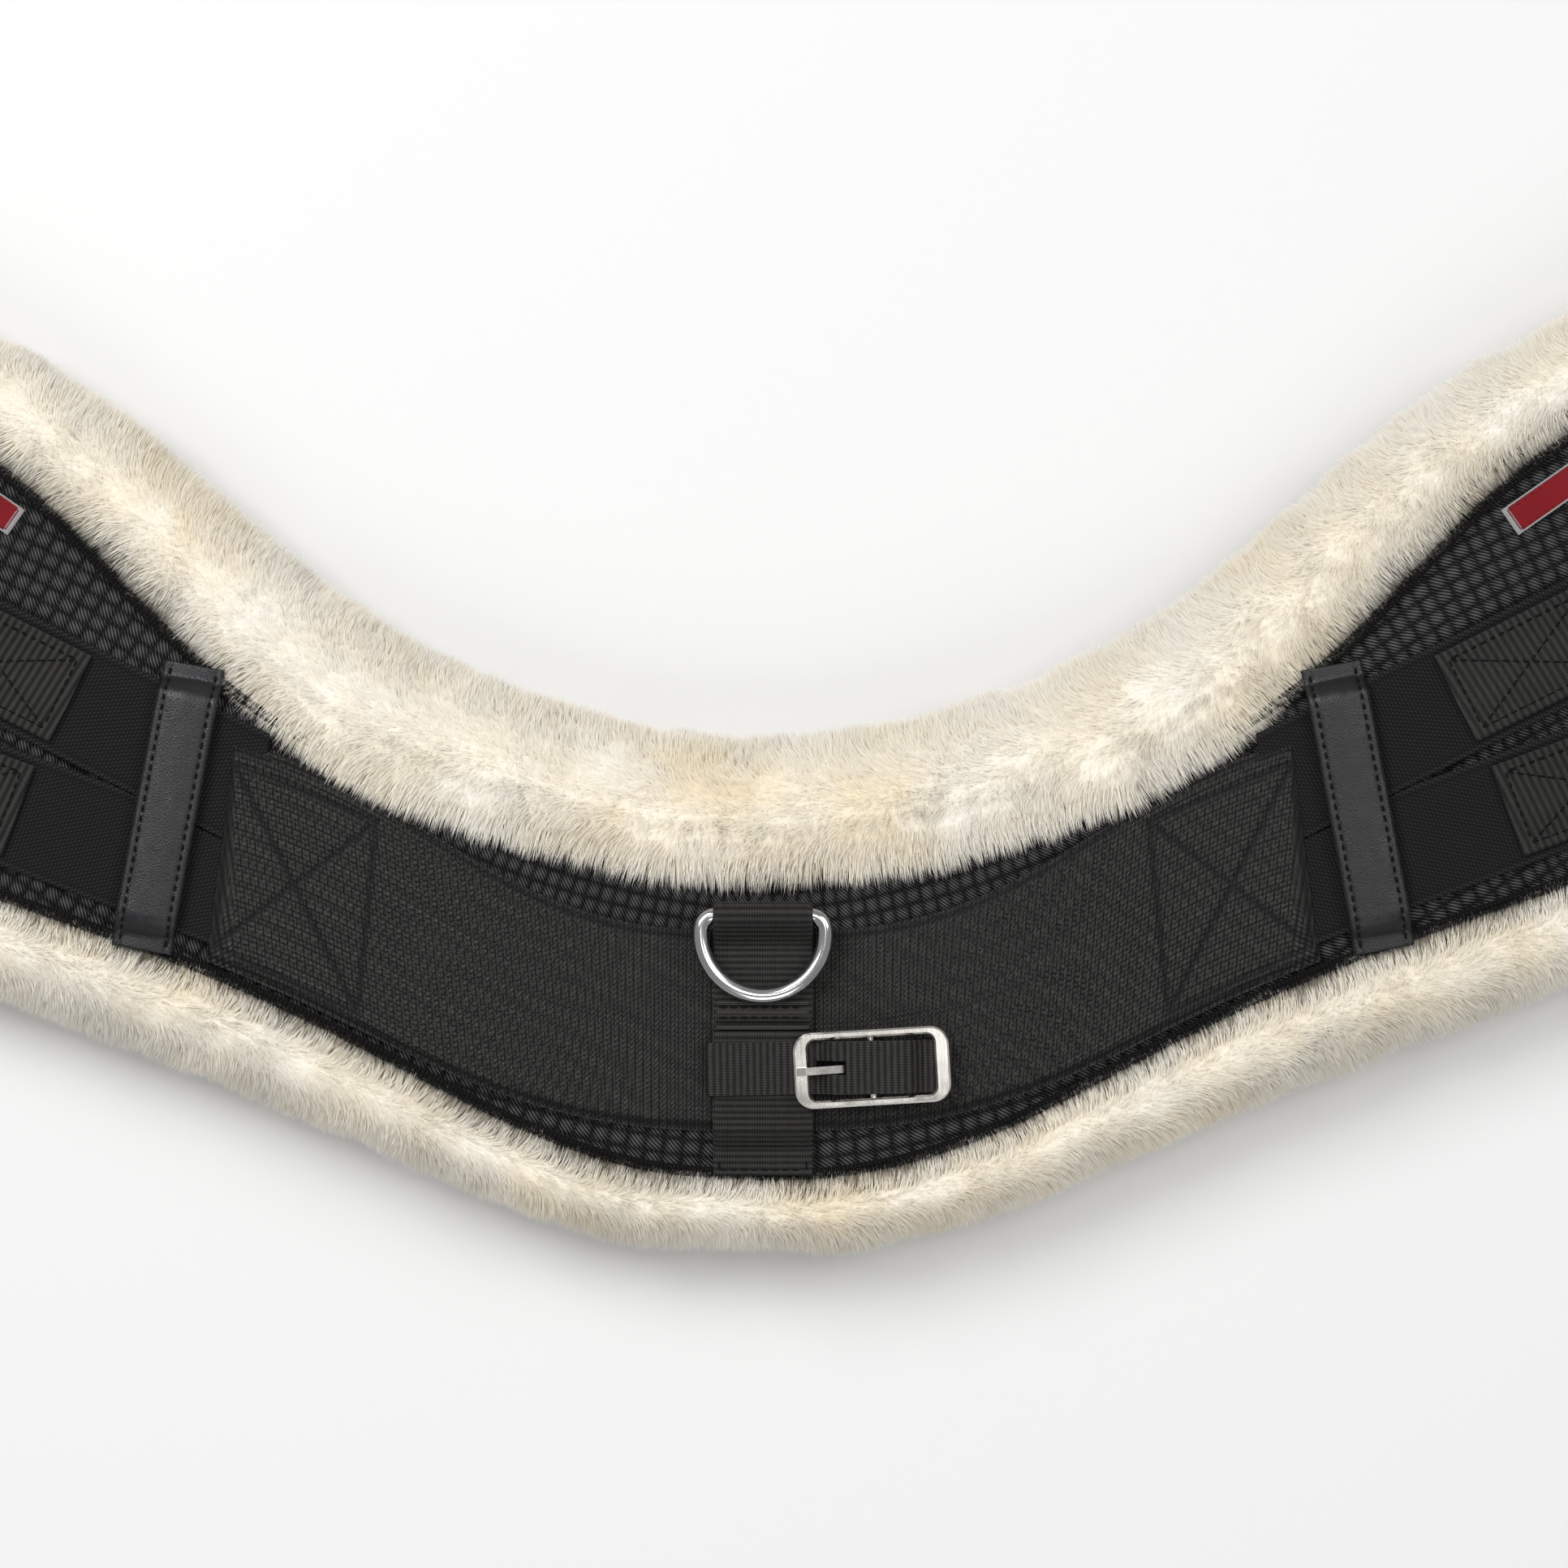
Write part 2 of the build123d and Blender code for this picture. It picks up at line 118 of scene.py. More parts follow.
def unit(v):
    return v / np.maximum(np.linalg.norm(v, axis=-1, keepdims=True), 1e-12)


def smoothstep(x):
    x = np.clip(x, 0, 1)
    return x * x * (3 - 2 * x)


def wobble(p, scale, seed):
    """Smooth noise about 0, a sum of sines in turned directions; p is (n, 2) or (n, 3)."""
    rng = np.random.default_rng(seed)
    total = np.zeros(len(p))
    for octave in range(7):
        way = unit(rng.normal(size=p.shape[1])) * (2 * math.pi / scale) * (1 + 0.37 * octave)
        total += np.sin(p @ way + rng.uniform(0, 2 * math.pi)) / (1 + 0.5 * octave)
    return total / 2.6


# ------------------------------------------------------------------ outlines read from the frame
def rim(node):
    """The outline of a flat node's top face, as ordered points, counter-clockwise."""
    mesh = frame["nodes"][node].data
    co = np.array([v.co[:] for v in mesh.vertices])
    level = co[:, 2].max()
    keys = [tuple(np.round(c[:2] * 1e6).astype(int)) for c in co]
    flat = {}
    for face in mesh.polygons:
        if abs(face.normal.z) > 0.9 and all(abs(co[i, 2] - level) < 1e-6 for i in face.vertices):
            ring = [keys[i] for i in face.vertices]
            for a, b in zip(ring, ring[1:] + ring[:1], strict=True):
                flat[a, b] = True
    nexts = {a: b for a, b in flat if (b, a) not in flat}
    best = []
    while nexts:
        first = here = next(iter(nexts))
        loop = []
        while here in nexts:
            loop.append(here)
            here = nexts.pop(here)
        if len(loop) > len(best) and here == first:
            best = loop
    points = np.array(best) * 1e-6
    x, y = points.T
    area = np.sum(x * np.roll(y, -1) - np.roll(x, -1) * y)
    return points if area > 0 else points[::-1]


def runs(points):
    """How far along a line each of its points is."""
    return np.concatenate([[0], np.cumsum(np.linalg.norm(np.diff(points, axis=0), axis=1))])


def evenly(points, spacing, closed=True):
    """The points of a line again, evenly spaced."""
    if closed:
        points = np.vstack([points, points[:1]])
    run = runs(points)
    count = max(4, round(run[-1] / spacing))
    at = np.linspace(0, run[-1], count + (0 if closed else 1), endpoint=not closed)
    return np.stack([np.interp(at, run, points[:, k]) for k in range(points.shape[1])], axis=1)


def relaxed(points, rounds):
    for _ in range(rounds):
        points = points * 0.5 + (np.roll(points, 1, axis=0) + np.roll(points, -1, axis=0)) * 0.25
    return points


def outward(points):
    """Normals of a counter-clockwise loop in the plane."""
    along = unit(np.roll(points, -1, axis=0) - np.roll(points, 1, axis=0))
    return np.stack([along[:, 1], -along[:, 0]], axis=1)

# ------------------------------------------------------------------ materials
def new_material(name):
    material = bpy.data.materials.new(name)
    material.use_nodes = True
    tree = material.node_tree
    return material, tree, tree.nodes["Principled BSDF"]


def add(tree, kind, **settings):
    """A node with its inputs or properties set; a tuple (node, socket) links."""
    node = tree.nodes.new("ShaderNode" + kind)
    for key, value in settings.items():
        if hasattr(node, key) and key not in node.inputs:
            setattr(node, key, value)
            continue
        socket = node.inputs[int(key[1:])] if key[0] == "i" and key[1:].isdigit() else node.inputs[key]
        if isinstance(value, tuple) and len(value) == 2 and hasattr(value[0], "outputs"):
            tree.links.new(value[0].outputs[value[1]], socket)
        else:
            socket.default_value = value
    return node


def ramp(tree, source, *stops):
    """A colour ramp fed by (node, socket); stops are (place, colour)."""
    node = tree.nodes.new("ShaderNodeValToRGB")
    tree.links.new(source[0].outputs[source[1]], node.inputs[0])
    elements = node.color_ramp.elements
    while len(elements) < len(stops):
        elements.new(0.5)
    for element, (place, colour) in zip(elements, stops, strict=True):
        element.position = place
        element.color = (*colour, 1) if len(colour) == 3 else (colour[0], colour[0], colour[0], 1)
    return node


def blend_colours(tree, factor, a, b, mode="MIX"):
    """A colour mix; factor, a and b are numbers, colours or (node, socket)."""
    node = tree.nodes.new("ShaderNodeMix")
    node.data_type = "RGBA"
    node.blend_type = mode
    for socket, value in ((0, factor), (6, a), (7, b)):
        if isinstance(value, tuple) and hasattr(value[0], "outputs"):
            tree.links.new(value[0].outputs[value[1]], node.inputs[socket])
        elif socket == 0:
            node.inputs[0].default_value = value
        else:
            node.inputs[socket].default_value = (*value, 1)
    return node


def maths(tree, operation, a, b=None):
    """A sum of numbers or (node, socket) pairs, given back as a pair."""
    node = tree.nodes.new("ShaderNodeMath")
    node.operation = operation
    for i, value in enumerate((a, b)):
        if isinstance(value, tuple):
            tree.links.new(value[0].outputs[value[1]], node.inputs[i])
        elif value is not None:
            node.inputs[i].default_value = value
    return node, 0


def weighed(tree, a, a_share, b, b_share):
    """Shares of two (node, socket) pairs, added."""
    return maths(tree, "ADD", maths(tree, "MULTIPLY", a, a_share), maths(tree, "MULTIPLY", b, b_share))


def set_inputs(shader, **values):
    """Sets a shader's sockets; a word's underscores stand for spaces."""
    for key, value in values.items():
        shader.inputs[key.replace("_", " ")].default_value = value


def feed(tree, shader, source, socket="Base Color"):
    """Links a (node, socket) pair to one of a shader's sockets."""
    tree.links.new(source[0].outputs[source[1]], shader.inputs[socket])


def set_bump(tree, shader, height, strength, distance):
    bump = add(tree, "Bump", Strength=strength, Distance=distance, Height=height)
    feed(tree, shader, (bump, 0), "Normal")


def noise(tree, coords, scale, detail=3.0, roughness=0.55):
    return add(tree, "TexNoise", Vector=coords, Scale=scale, Detail=detail, Roughness=roughness)


def wool_material(name, strand):
    """Cream wool: darker and warmer towards the roots, paler at the tips, in soft clouds. The warmth at the
    roots is the wool's own; the darkening there is painted shade deep in the pile.
    """
    material, tree, shader = new_material(name)
    where = (add(tree, "TexCoord"), "Object")
    clouds = noise(tree, where, 26.0, 3.0)
    patches = ramp(
        tree, (clouds, 0),
        (0.35, (0.97, 0.93, 0.845)), (0.55, (0.965, 0.90, 0.765)), (0.72, (0.95, 0.845, 0.64)),
    )
    fine = noise(tree, where, 900.0, 2.0)
    grain = ramp(tree, (fine, 0), (0.25, (0.96,)), (0.75, (1.0,)))
    colour = blend_colours(tree, 1.0, (patches, 0), (grain, 0), "MULTIPLY")
    if strand:
        height = add(tree, "Attribute", attribute_name="along")
        # Darker and yellower towards the roots: the yellow is the wool's own colour, the darkening is painted
        # shade deep in the pile.
        root_tint_and_shade = ramp(
            tree, (height, "Fac"),
            (0.0, (0.95, 0.88, 0.76)), (0.5, (0.99, 0.975, 0.95)), (1.0, (1.0, 1.0, 1.0)),
        )
        colour = blend_colours(tree, 1.0, (colour, 2), (root_tint_and_shade, 0), "MULTIPLY")
        tips = ramp(tree, (height, "Fac"), (0.6, (0.0,)), (1.0, (0.5,)))
        colour = blend_colours(tree, (tips, 0), (colour, 2), (0.975, 0.945, 0.885))
    else:
        set_bump(tree, shader, (fine, 0), 0.6, 0.001)
    feed(tree, shader, (colour, 2))
    set_inputs(shader, Roughness=0.85, Specular_IOR_Level=0.25, Sheen_Weight=0.35, Sheen_Roughness=0.5)
    return material


WOOL = wool_material("wool_strands", True)
WOOL_DEPTH = wool_material("wool_depth", False)

# ------------------------------------------------------------------ wool
BACK_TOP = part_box("velour_backing")[1][2]
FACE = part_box("outer_shell")[1][2]
LIP_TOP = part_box("edge_binding")[1][2]
ROLL_SPACING = 2.0 * MM
ROLL_STEPS = 26
WALL_LEVEL = 14 * MM  # where the pile's outer wall is measured
ROOT_DEPTH = 2.6 * MM  # of a strand under the roll's surface
GROUND_GAP = 0.6 * MM  # between the wool and what the girth lies on
STRAND_PARTS = 2  # along a strand
PIECE_FACES = 190000  # at most, in one piece of strands

backing = relaxed(evenly(rim("velour_backing"), ROLL_SPACING), 6)
backing_out = outward(backing)


def wall_distance():
    """How far the pile's outer wall stands from the backing's edge, at each point of the edge."""
    mesh = frame["nodes"]["lambskin_pile"].data
    faces = [p.vertices[:] for p in mesh.polygons]
    tree = BVHTree.FromPolygons([v.co[:] for v in mesh.vertices], faces)
    width = np.zeros(len(backing))
    for i, (p, n) in enumerate(zip(backing, backing_out, strict=True)):
        hit = tree.ray_cast(Vector((p[0], p[1], WALL_LEVEL)), Vector((n[0], n[1], 0)), 0.08)
        width[i] = hit[3] if hit[0] is not None else 0.02
    return relaxed(width[:, None], 30)[:, 0]


width = wall_distance()
# how strongly the wool curls in over the shell: at the rear edge of the middle
curl = smoothstep((0.155 - np.abs(backing[:, 0])) / 0.05) * (backing_out[:, 1] > 0.3)
curl = relaxed(curl[:, None].astype(float), 25)[:, 0]

# the wool's section, from the inner top round to below: how far across, as a share of its width
# and mm to add, and its height in mm
SECTION = np.array([
    (0.02, 0.4, 22.8), (0.03, 0.6, 27.0), (0.10, 0.2, 31.2), (0.24, 0.0, 33.8), (0.42, -0.4, 34.4),
    (0.62, -1.2, 32.6), (0.82, -2.4, 28.0), (0.98, -3.4, 21.0), (1.0, -3.4, 13.6), (0.93, -3.6, 7.2),
    (0.76, -3.6, 3.0), (0.50, -2.6, 1.6), (0.16, -1.2, 1.4), (-0.14, -0.6, 1.6),
])
# where the wool curls in over the binding its section starts further in and stands higher
SECTION_CURLED = SECTION.copy()
SECTION_CURLED[:6] = [
    (0.0, -3.4, 35.0), (0.0, -3.0, 36.6), (0.03, -1.8, 37.8), (0.16, -0.8, 38.2), (0.40, -0.6, 37.2),
    (0.62, -1.2, 33.6),
]


def smooth_rows(rows, count):
    """A line through rows of numbers, by Catmull-Rom, at count even steps."""
    padded = np.vstack([2 * rows[0] - rows[1], rows, 2 * rows[-1] - rows[-2]])
    at = np.linspace(0, len(rows) - 1, count)
    k = np.minimum(at.astype(int), len(rows) - 2)
    t = (at - k)[:, None]
    a, b, c, d = (padded[k + i] for i in range(4))
    bend = (c - a) * t + (2 * a - 5 * b + 4 * c - d) * t**2 + (3 * b - a - 3 * c + d) * t**3
    return 0.5 * (2 * b + bend)


def wool_roll():
    """Points (loop, section, 3) of the wool's body round the edge."""
    flat_section, curled_section = (smooth_rows(rows, ROLL_STEPS) for rows in (SECTION, SECTION_CURLED))
    section = flat_section + (curled_section - flat_section) * curl[:, None, None]
    share, plus, high = np.moveaxis(section, 2, 0)
    across = share * width[:, None] + plus * MM
    high = high * MM
    flat = backing[:, None] + backing_out[:, None] * across[..., None]
    points = np.concatenate([flat, high[..., None]], axis=2)
    spots = points.reshape(-1, 3)
    lumps = (wobble(spots, 0.034, 5) + 0.6 * wobble(spots, 0.013, 6)).reshape(points.shape[:2])
    lumps = lumps * smoothstep((points[..., 2] - 1.0 * MM) / (6 * MM))
    return points + grid_normals(points) * (lumps[..., None] * 0.9 * MM)


def grid_normals(points):
    """Outward normals of a grid closed along its rows."""
    along = np.roll(points, -1, axis=0) - np.roll(points, 1, axis=0)
    across = np.gradient(points, axis=1)
    return unit(np.cross(across, along))


roll = wool_roll()
roll_normals = grid_normals(roll)
third = len(roll) // 3
if roll_normals[third, ROLL_STEPS // 2, :2] @ backing_out[third] < 0:
    roll_normals = -roll_normals


def wool_body():
    """The roll of wool round the edge, under its strands."""
    faces = grid_faces(*roll.shape[:2], wrap_rows=True)
    return mesh_piece("wool_body", roll.reshape(-1, 3), [faces], "pad", "lambskin", WOOL_DEPTH)


def split_quads(quads):
    return np.concatenate([quads[:, [0, 1, 2]], quads[:, [0, 2, 3]]])


def triangle_samples(points, triangles, count, rng, weight=None):
    """count random places on triangles: which triangle, and the three shares."""
    a, b, c = (points[triangles[:, k]] for k in range(3))
    area = np.linalg.norm(np.cross(b - a, c - a), axis=1)
    if weight is not None:
        area = area * weight
    which = rng.choice(len(triangles), count, p=area / area.sum())
    u, v = rng.random((2, count))
    over = u + v > 1
    u, v = np.where(over, 1 - u, u), np.where(over, 1 - v, v)
    return which, np.stack([1 - u - v, u, v], axis=1)


def mixed(shares, corners):
    """Values at random places, from the values (n, 3, d) at their triangles' corners."""
    return np.einsum("nk,nkd->nd", shares, corners)


def strands(name, roots, ways, bends, lengths, widths, facing, seed, slot, material):
    """Tapered blades, one for each root: ways is where it starts towards and bends where it turns to.

    The blades are lit as if they faced along facing, so that they read as soft wool.
    """
    rng = np.random.default_rng(seed)
    count = len(roots)
    t = np.linspace(0, 1, STRAND_PARTS + 1)
    line = (
        roots[:, None]
        + ways[:, None] * (lengths[:, None] * t[None])[..., None]
        + bends[:, None] * (lengths[:, None] * (t**2)[None])[..., None]
    )
    wave = unit(rng.normal(size=(count, 3)))
    phase = rng.uniform(0, 2 * math.pi, count)
    sway = np.sin(phase[:, None] + t[None] * 5.0) * 0.045 * lengths[:, None] * t[None]
    line += wave[:, None] * sway[..., None]
    reach = unit(line[:, -1] - line[:, 0])
    side = unit(np.cross(reach, unit(facing + rng.normal(size=(count, 3)) * 0.5)))
    side *= np.sign(np.einsum("nd,nd->n", np.cross(side, reach), facing))[:, None]
    half = side[:, None] * (widths[:, None] * 0.5 * (1 - 0.35 * t[None, :-1]))[..., None]
    pairs = np.stack([line[:, :-1] - half, line[:, :-1] + half], axis=2).reshape(count, -1, 3)
    points = np.concatenate([pairs, line[:, -1:]], axis=1)
    each = 2 * STRAND_PARTS + 1
    base = (np.arange(count) * each)[:, None]
    quads = [base + np.array([[k, k + 1, k + 3, k + 2]]) for k in range(0, each - 3, 2)]
    tips = base + np.array([[each - 3, each - 2, each - 1]])
    along = np.tile(np.concatenate([np.repeat(t[:-1], 2), [1.0]]), count)
    lit = unit(facing + rng.normal(size=(count, 3)) * 0.09)
    lit = np.repeat(lit, each, axis=0)
    parts = max(1, math.ceil(count * (2 * STRAND_PARTS - 1) / PIECE_FACES))
    for part in range(parts):
        pick = slice(part * count // parts, (part + 1) * count // parts)
        first, last = pick.start * each, pick.stop * each
        faces = [np.concatenate([q[pick] - first for q in quads]), tips[pick] - first]
        piece = mesh_piece(
            f"{name}_{part + 1}" if parts > 1 else name, points[pick].reshape(-1, 3), faces,
            "pad", slot, material, along=along[: last - first],
        )
        piece.data.normals_split_custom_set_from_vertices(lit[first:last])


def clumped(roots, tips, locks, pull, rng):
    """Moves tips towards the tip of the nearest lock, one of a number of strands chosen at random."""
    chosen = rng.choice(len(roots), min(locks, len(roots)), replace=False)
    tree = KDTree(len(chosen))
    for i, k in enumerate(chosen):
        tree.insert(roots[k], i)
    tree.balance()
    lock = np.array([tree.find(p)[1] for p in roots])
    reach = (tips[chosen] - roots[chosen])[lock]
    lengths = np.linalg.norm(tips - roots, axis=1)
    lock_lengths = np.maximum(np.linalg.norm(reach, axis=1), 1e-9)
    target = roots[chosen[lock]] + reach * (lengths / lock_lengths)[:, None]
    return tips + (target - tips) * pull[:, None]


def drift(points, scale, seed):
    """Smooth noise in three directions."""
    return np.stack([wobble(points, scale, seed + k) for k in range(3)], axis=1)


def wool_fur(count, locks):
    """Strands all round the edge roll, combed in over the shell at the top and down outside."""
    rng = np.random.default_rng(21)
    rows, columns = roll.shape[:2]
    triangles = split_quads(grid_faces(rows, columns, wrap_rows=True))
    points, normals = roll.reshape(-1, 3), roll_normals.reshape(-1, 3)
    step = (triangles[:, 0] % columns) / (columns - 1)
    weight = np.where(step < 0.62, 1.0, 0.45) * np.where(step > 0.9, 0.6, 1.0)
    which, shares = triangle_samples(points, triangles, count, rng, weight)
    corners = triangles[which]
    at = mixed(shares, points[corners])
    out = unit(mixed(shares, normals[corners]))
    row = corners[:, 0] // columns
    phi = np.clip((corners[:, 0] % columns + 0.5) / (columns - 1), 0, 1)
    edge_out = np.concatenate([backing_out[row], np.zeros((count, 1))], axis=1)
    down = unit(np.cross(np.cross(out, np.array([0, 0, -1.0])), out) + 1e-9)
    inward = smoothstep((0.34 - phi) / 0.24)
    outside = smoothstep((phi - 0.26) / 0.3)
    comb = -edge_out * inward[:, None] * (0.75 + 0.5 * curl[row])[:, None]
    comb += edge_out * (outside * (1 - smoothstep((phi - 0.5) / 0.2)) * 0.35)[:, None]
    comb += down * (outside * 0.25)[:, None]
    tangent = np.stack([-edge_out[:, 1], edge_out[:, 0], np.zeros(count)], axis=1)
    parting = np.exp(-(((phi - 0.33) / 0.13) ** 2))
    comb += tangent * (parting * 0.6)[:, None]
    swirl, fine = drift(at, 0.03, 31), drift(at, 0.009, 41)
    stray = rng.normal(size=(count, 3)) * 0.11
    way = unit(out * 0.72 + comb + swirl * 0.34 + fine * 0.10 + stray)
    length = rng.uniform(4.8, 7.4, count) * MM * (1 - 0.25 * smoothstep((phi - 0.6) / 0.2))
    length *= 1 + 0.45 * curl[row] * inward
    root = at - out * ROOT_DEPTH
    tip = root + way * length[:, None]
    tip = clumped(root, tip, locks, rng.uniform(0.0, 0.22, count), rng)
    tip += (unit(comb + 1e-9 * out) * 1.0 * MM) * (rng.random(count) * (inward + 0.3 * outside))[:, None]
    tip[:, 2] = np.maximum(tip[:, 2], GROUND_GAP + rng.random(count) * 0.8 * MM)
    past_edge = np.einsum("nd,nd->n", tip - np.c_[backing[row], np.zeros(count)], edge_out)
    floor = np.where((inward > 0.3) & (past_edge < 0), LIP_TOP + 0.5 * MM, -1.0)
    tip[:, 2] = np.maximum(tip[:, 2], floor + rng.random(count) * 0.7 * MM)
    root[:, 2] = np.maximum(root[:, 2], GROUND_GAP)
    ways = tip - root
    lengths = np.linalg.norm(ways, axis=1)
    lift = out * 0.22
    widths = rng.uniform(0.17, 0.36, count) * MM
    facing = unit(out * 0.75 + np.array([0, 0, 0.55]) * (out[:, 2:] > -0.2))
    strands("wool", root, unit(ways) + lift, -lift, lengths, widths, facing, 77, "lambskin", WOOL)


FUR_COUNT = 480000
body = wool_body()
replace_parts(body, "lambskin_pile")
wool_fur(FUR_COUNT, FUR_COUNT // 30)


# ------------------------------------------------------------------ cloth materials
def cloth_material(
    name, dark, light, relief=None, weave=(900.0, 0.35), rough=0.8, sheen=0.25, pattern=None, gloss=0.10
):
    """Woven cloth. dark and light are the tones it takes in the gaps and on the crowns; where the relief value
    or a yarn pattern shapes them, these are painted shade in the gaps and a painted highlight on the crowns.

    relief names a point value, 0 in the gaps to 1 on the crowns; pattern(tree) gives another.
    weave is its fibres' scale and how strong their relief is.
    """
    material, tree, shader = new_material(name)
    coords = (add(tree, "TexCoord"), "Object")
    fine = noise(tree, coords, weave[0], 4.0, 0.65)
    height = (fine, 0)
    if relief:
        crown = (add(tree, "Attribute", attribute_name=relief), "Fac")
        height = weighed(tree, crown, 0.75, height, 0.3)
    if pattern:
        height = weighed(tree, height, 0.55, pattern(tree), 0.5)
    # the tone follows the height: painted shade in the low places and a painted highlight on the crowns,
    # wherever relief or a yarn pattern sets that height
    tone = ramp(tree, height, (0.34, dark), (0.66, tuple(0.25 * c for c in light)), (0.95, light))
    cloudy = noise(tree, coords, 22.0, 2.0)
    shade = ramp(tree, (cloudy, 0), (0.3, (0.82,)), (0.7, (1.0,)))
    colour = blend_colours(tree, 1.0, (tone, 0), (shade, 0), "MULTIPLY")
    feed(tree, shader, (colour, 2))
    worn = ramp(tree, (cloudy, 0), (0.3, (rough - 0.08,)), (0.7, (rough + 0.08,)))
    feed(tree, shader, (worn, 0), "Roughness")
    set_inputs(shader, Sheen_Weight=sheen, Sheen_Roughness=0.45, Specular_IOR_Level=gloss)
    set_bump(tree, shader, height, weave[1], 0.0010)
    return material


def map_parts(tree):
    """The cloth's own map, as a node whose sockets are along and across it."""
    where = add(tree, "UVMap", uv_map="cloth")
    return add(tree, "SeparateXYZ", i0=(where, 0))


def stripes(across, along, slant=0.0):
    """Fine yarns: across and along are how many to a millimetre, on the cloth's own map in millimetres."""
    share = 0.25 if across and along else 0.5

    def made(tree):
        parts = map_parts(tree)
        lean = maths(tree, "MULTIPLY", (parts, 1), slant)
        u = maths(tree, "ADD", (parts, 0), lean)
        waves = []
        for value, rate in ((u, across), ((parts, 1), along)):
            if rate:
                turn = maths(tree, "MULTIPLY", value, rate * 2 * math.pi)
                waves.append(maths(tree, "MULTIPLY", maths(tree, "SINE", turn), share))
        total = waves[0] if len(waves) == 1 else maths(tree, "ADD", *waves)
        return maths(tree, "ADD", total, 0.5)

    return made


def basket_yarns(tree):
    """The yarns on each bundle of the basket weave, lengthways on one parity and across on the other."""
    parts = map_parts(tree)
    cells = [maths(tree, "FLOOR", (parts, k)) for k in (0, 1)]
    odd = maths(tree, "PINGPONG", maths(tree, "ADD", *cells), 1.0)
    lines = []
    for k, lean in ((1, 0), (0, 1)):
        turned = maths(tree, "ADD", (parts, k), maths(tree, "MULTIPLY", (parts, lean), 0.9))
        lines.append(maths(tree, "SINE", maths(tree, "MULTIPLY", turned, 2 * math.pi * 4.0)))
    one = maths(tree, "MULTIPLY", lines[0], maths(tree, "SUBTRACT", 1.0, odd))
    two = maths(tree, "MULTIPLY", lines[1], odd)
    return maths(tree, "MULTIPLY_ADD", maths(tree, "ADD", one, two), 0.5)


# The light tones of these cloths are painted highlights on their yarns' crowns, and their dark tones are
# painted shade in the gaps.
BASKET = cloth_material(
    "basket_cloth", (0.002, 0.002, 0.0022), (0.125, 0.124, 0.130), "relief", (1500.0, 0.7), 0.55, 0.02,
    basket_yarns, 0.14,
)
BRAID = cloth_material(
    "braided_webbing", (0.0015, 0.0015, 0.0015), (0.17, 0.166, 0.152), "relief", (2200.0, 0.6), 0.5, 0.02,
    gloss=0.2,
)
WEBBING = cloth_material(
    "ribbed_webbing", (0.002, 0.002, 0.002), (0.085, 0.081, 0.074), "relief", (1800.0, 0.5), 0.45, 0.03,
    stripes(2.4, 0), 0.25,
)
ELASTIC = cloth_material(
    "woven_elastic", (0.005, 0.005, 0.006), (0.030, 0.030, 0.033), "relief", (1600.0, 0.4), 0.62, 0.04,
    stripes(0.9, 1.1, 0.6),
)
CORD, VELOUR, THREAD, HIDE, FOAM, LABEL, LABEL_EDGE = (
    cloth_material(name, dark, light, None, *rest)
    for name, dark, light, *rest in (
        ("binding_cord", (0.002,) * 3, (0.020, 0.018, 0.017), (1400.0, 0.5), 0.65, 0.05, stripes(0, 0.9)),
        ("velour", (0.002, 0.0016, 0.0015), (0.022, 0.016, 0.0145), (1200.0, 0.8), 0.85, 0.12),
        ("thread", (0.003,) * 3, (0.03,) * 3, (3000.0, 0.3), 0.5, 0.02),
        ("suede", (0.45, 0.36, 0.24), (0.72, 0.62, 0.46), (700.0, 0.4), 0.9, 0.3),
        ("foam_cells", (0.01, 0.01, 0.01), (0.03, 0.03, 0.032), (2500.0, 0.5), 0.9, 0.0),
        ("red_tape", (0.30, 0.008, 0.016), (0.60, 0.030, 0.045), (1500.0, 0.3), 0.6, 0.2, stripes(2.0, 2.0)),
        ("white_selvedge", (0.45, 0.42, 0.42), (0.80, 0.78, 0.78), (1500.0, 0.3), 0.6, 0.2, stripes(2.0, 0)),
    )
)


def leather_material():
    """Black leather: fine creases, pores and a little wear, with painted shade darkening the creases."""
    material, tree, shader = new_material("black_leather")
    coords = (add(tree, "TexCoord"), "Object")
    grain = add(tree, "TexVoronoi", Vector=coords, Scale=1500.0, feature="DISTANCE_TO_EDGE")
    pores = noise(tree, coords, 260.0, 4.0, 0.6)
    wear = noise(tree, coords, 35.0, 3.0)
    tone = ramp(tree, (wear, 0), (0.3, (0.0045, 0.0046, 0.0058)), (0.75, (0.011, 0.0112, 0.0145)))
    # Darker along the grain's creases: painted shade in the creases.
    creases = ramp(tree, (grain, 0), (0.0, (0.72,)), (0.12, (1.0,)))
    colour = blend_colours(tree, 1.0, (tone, 0), (creases, 0), "MULTIPLY")
    feed(tree, shader, (colour, 2))
    rough = ramp(tree, (pores, 0), (0.3, (0.30,)), (0.7, (0.46,)))
    feed(tree, shader, (rough, 0), "Roughness")
    set_inputs(shader, Specular_IOR_Level=0.5)
    set_bump(tree, shader, weighed(tree, (grain, 0), 1.2, (pores, 0), 0.5), 0.25, 0.0004)
    return material


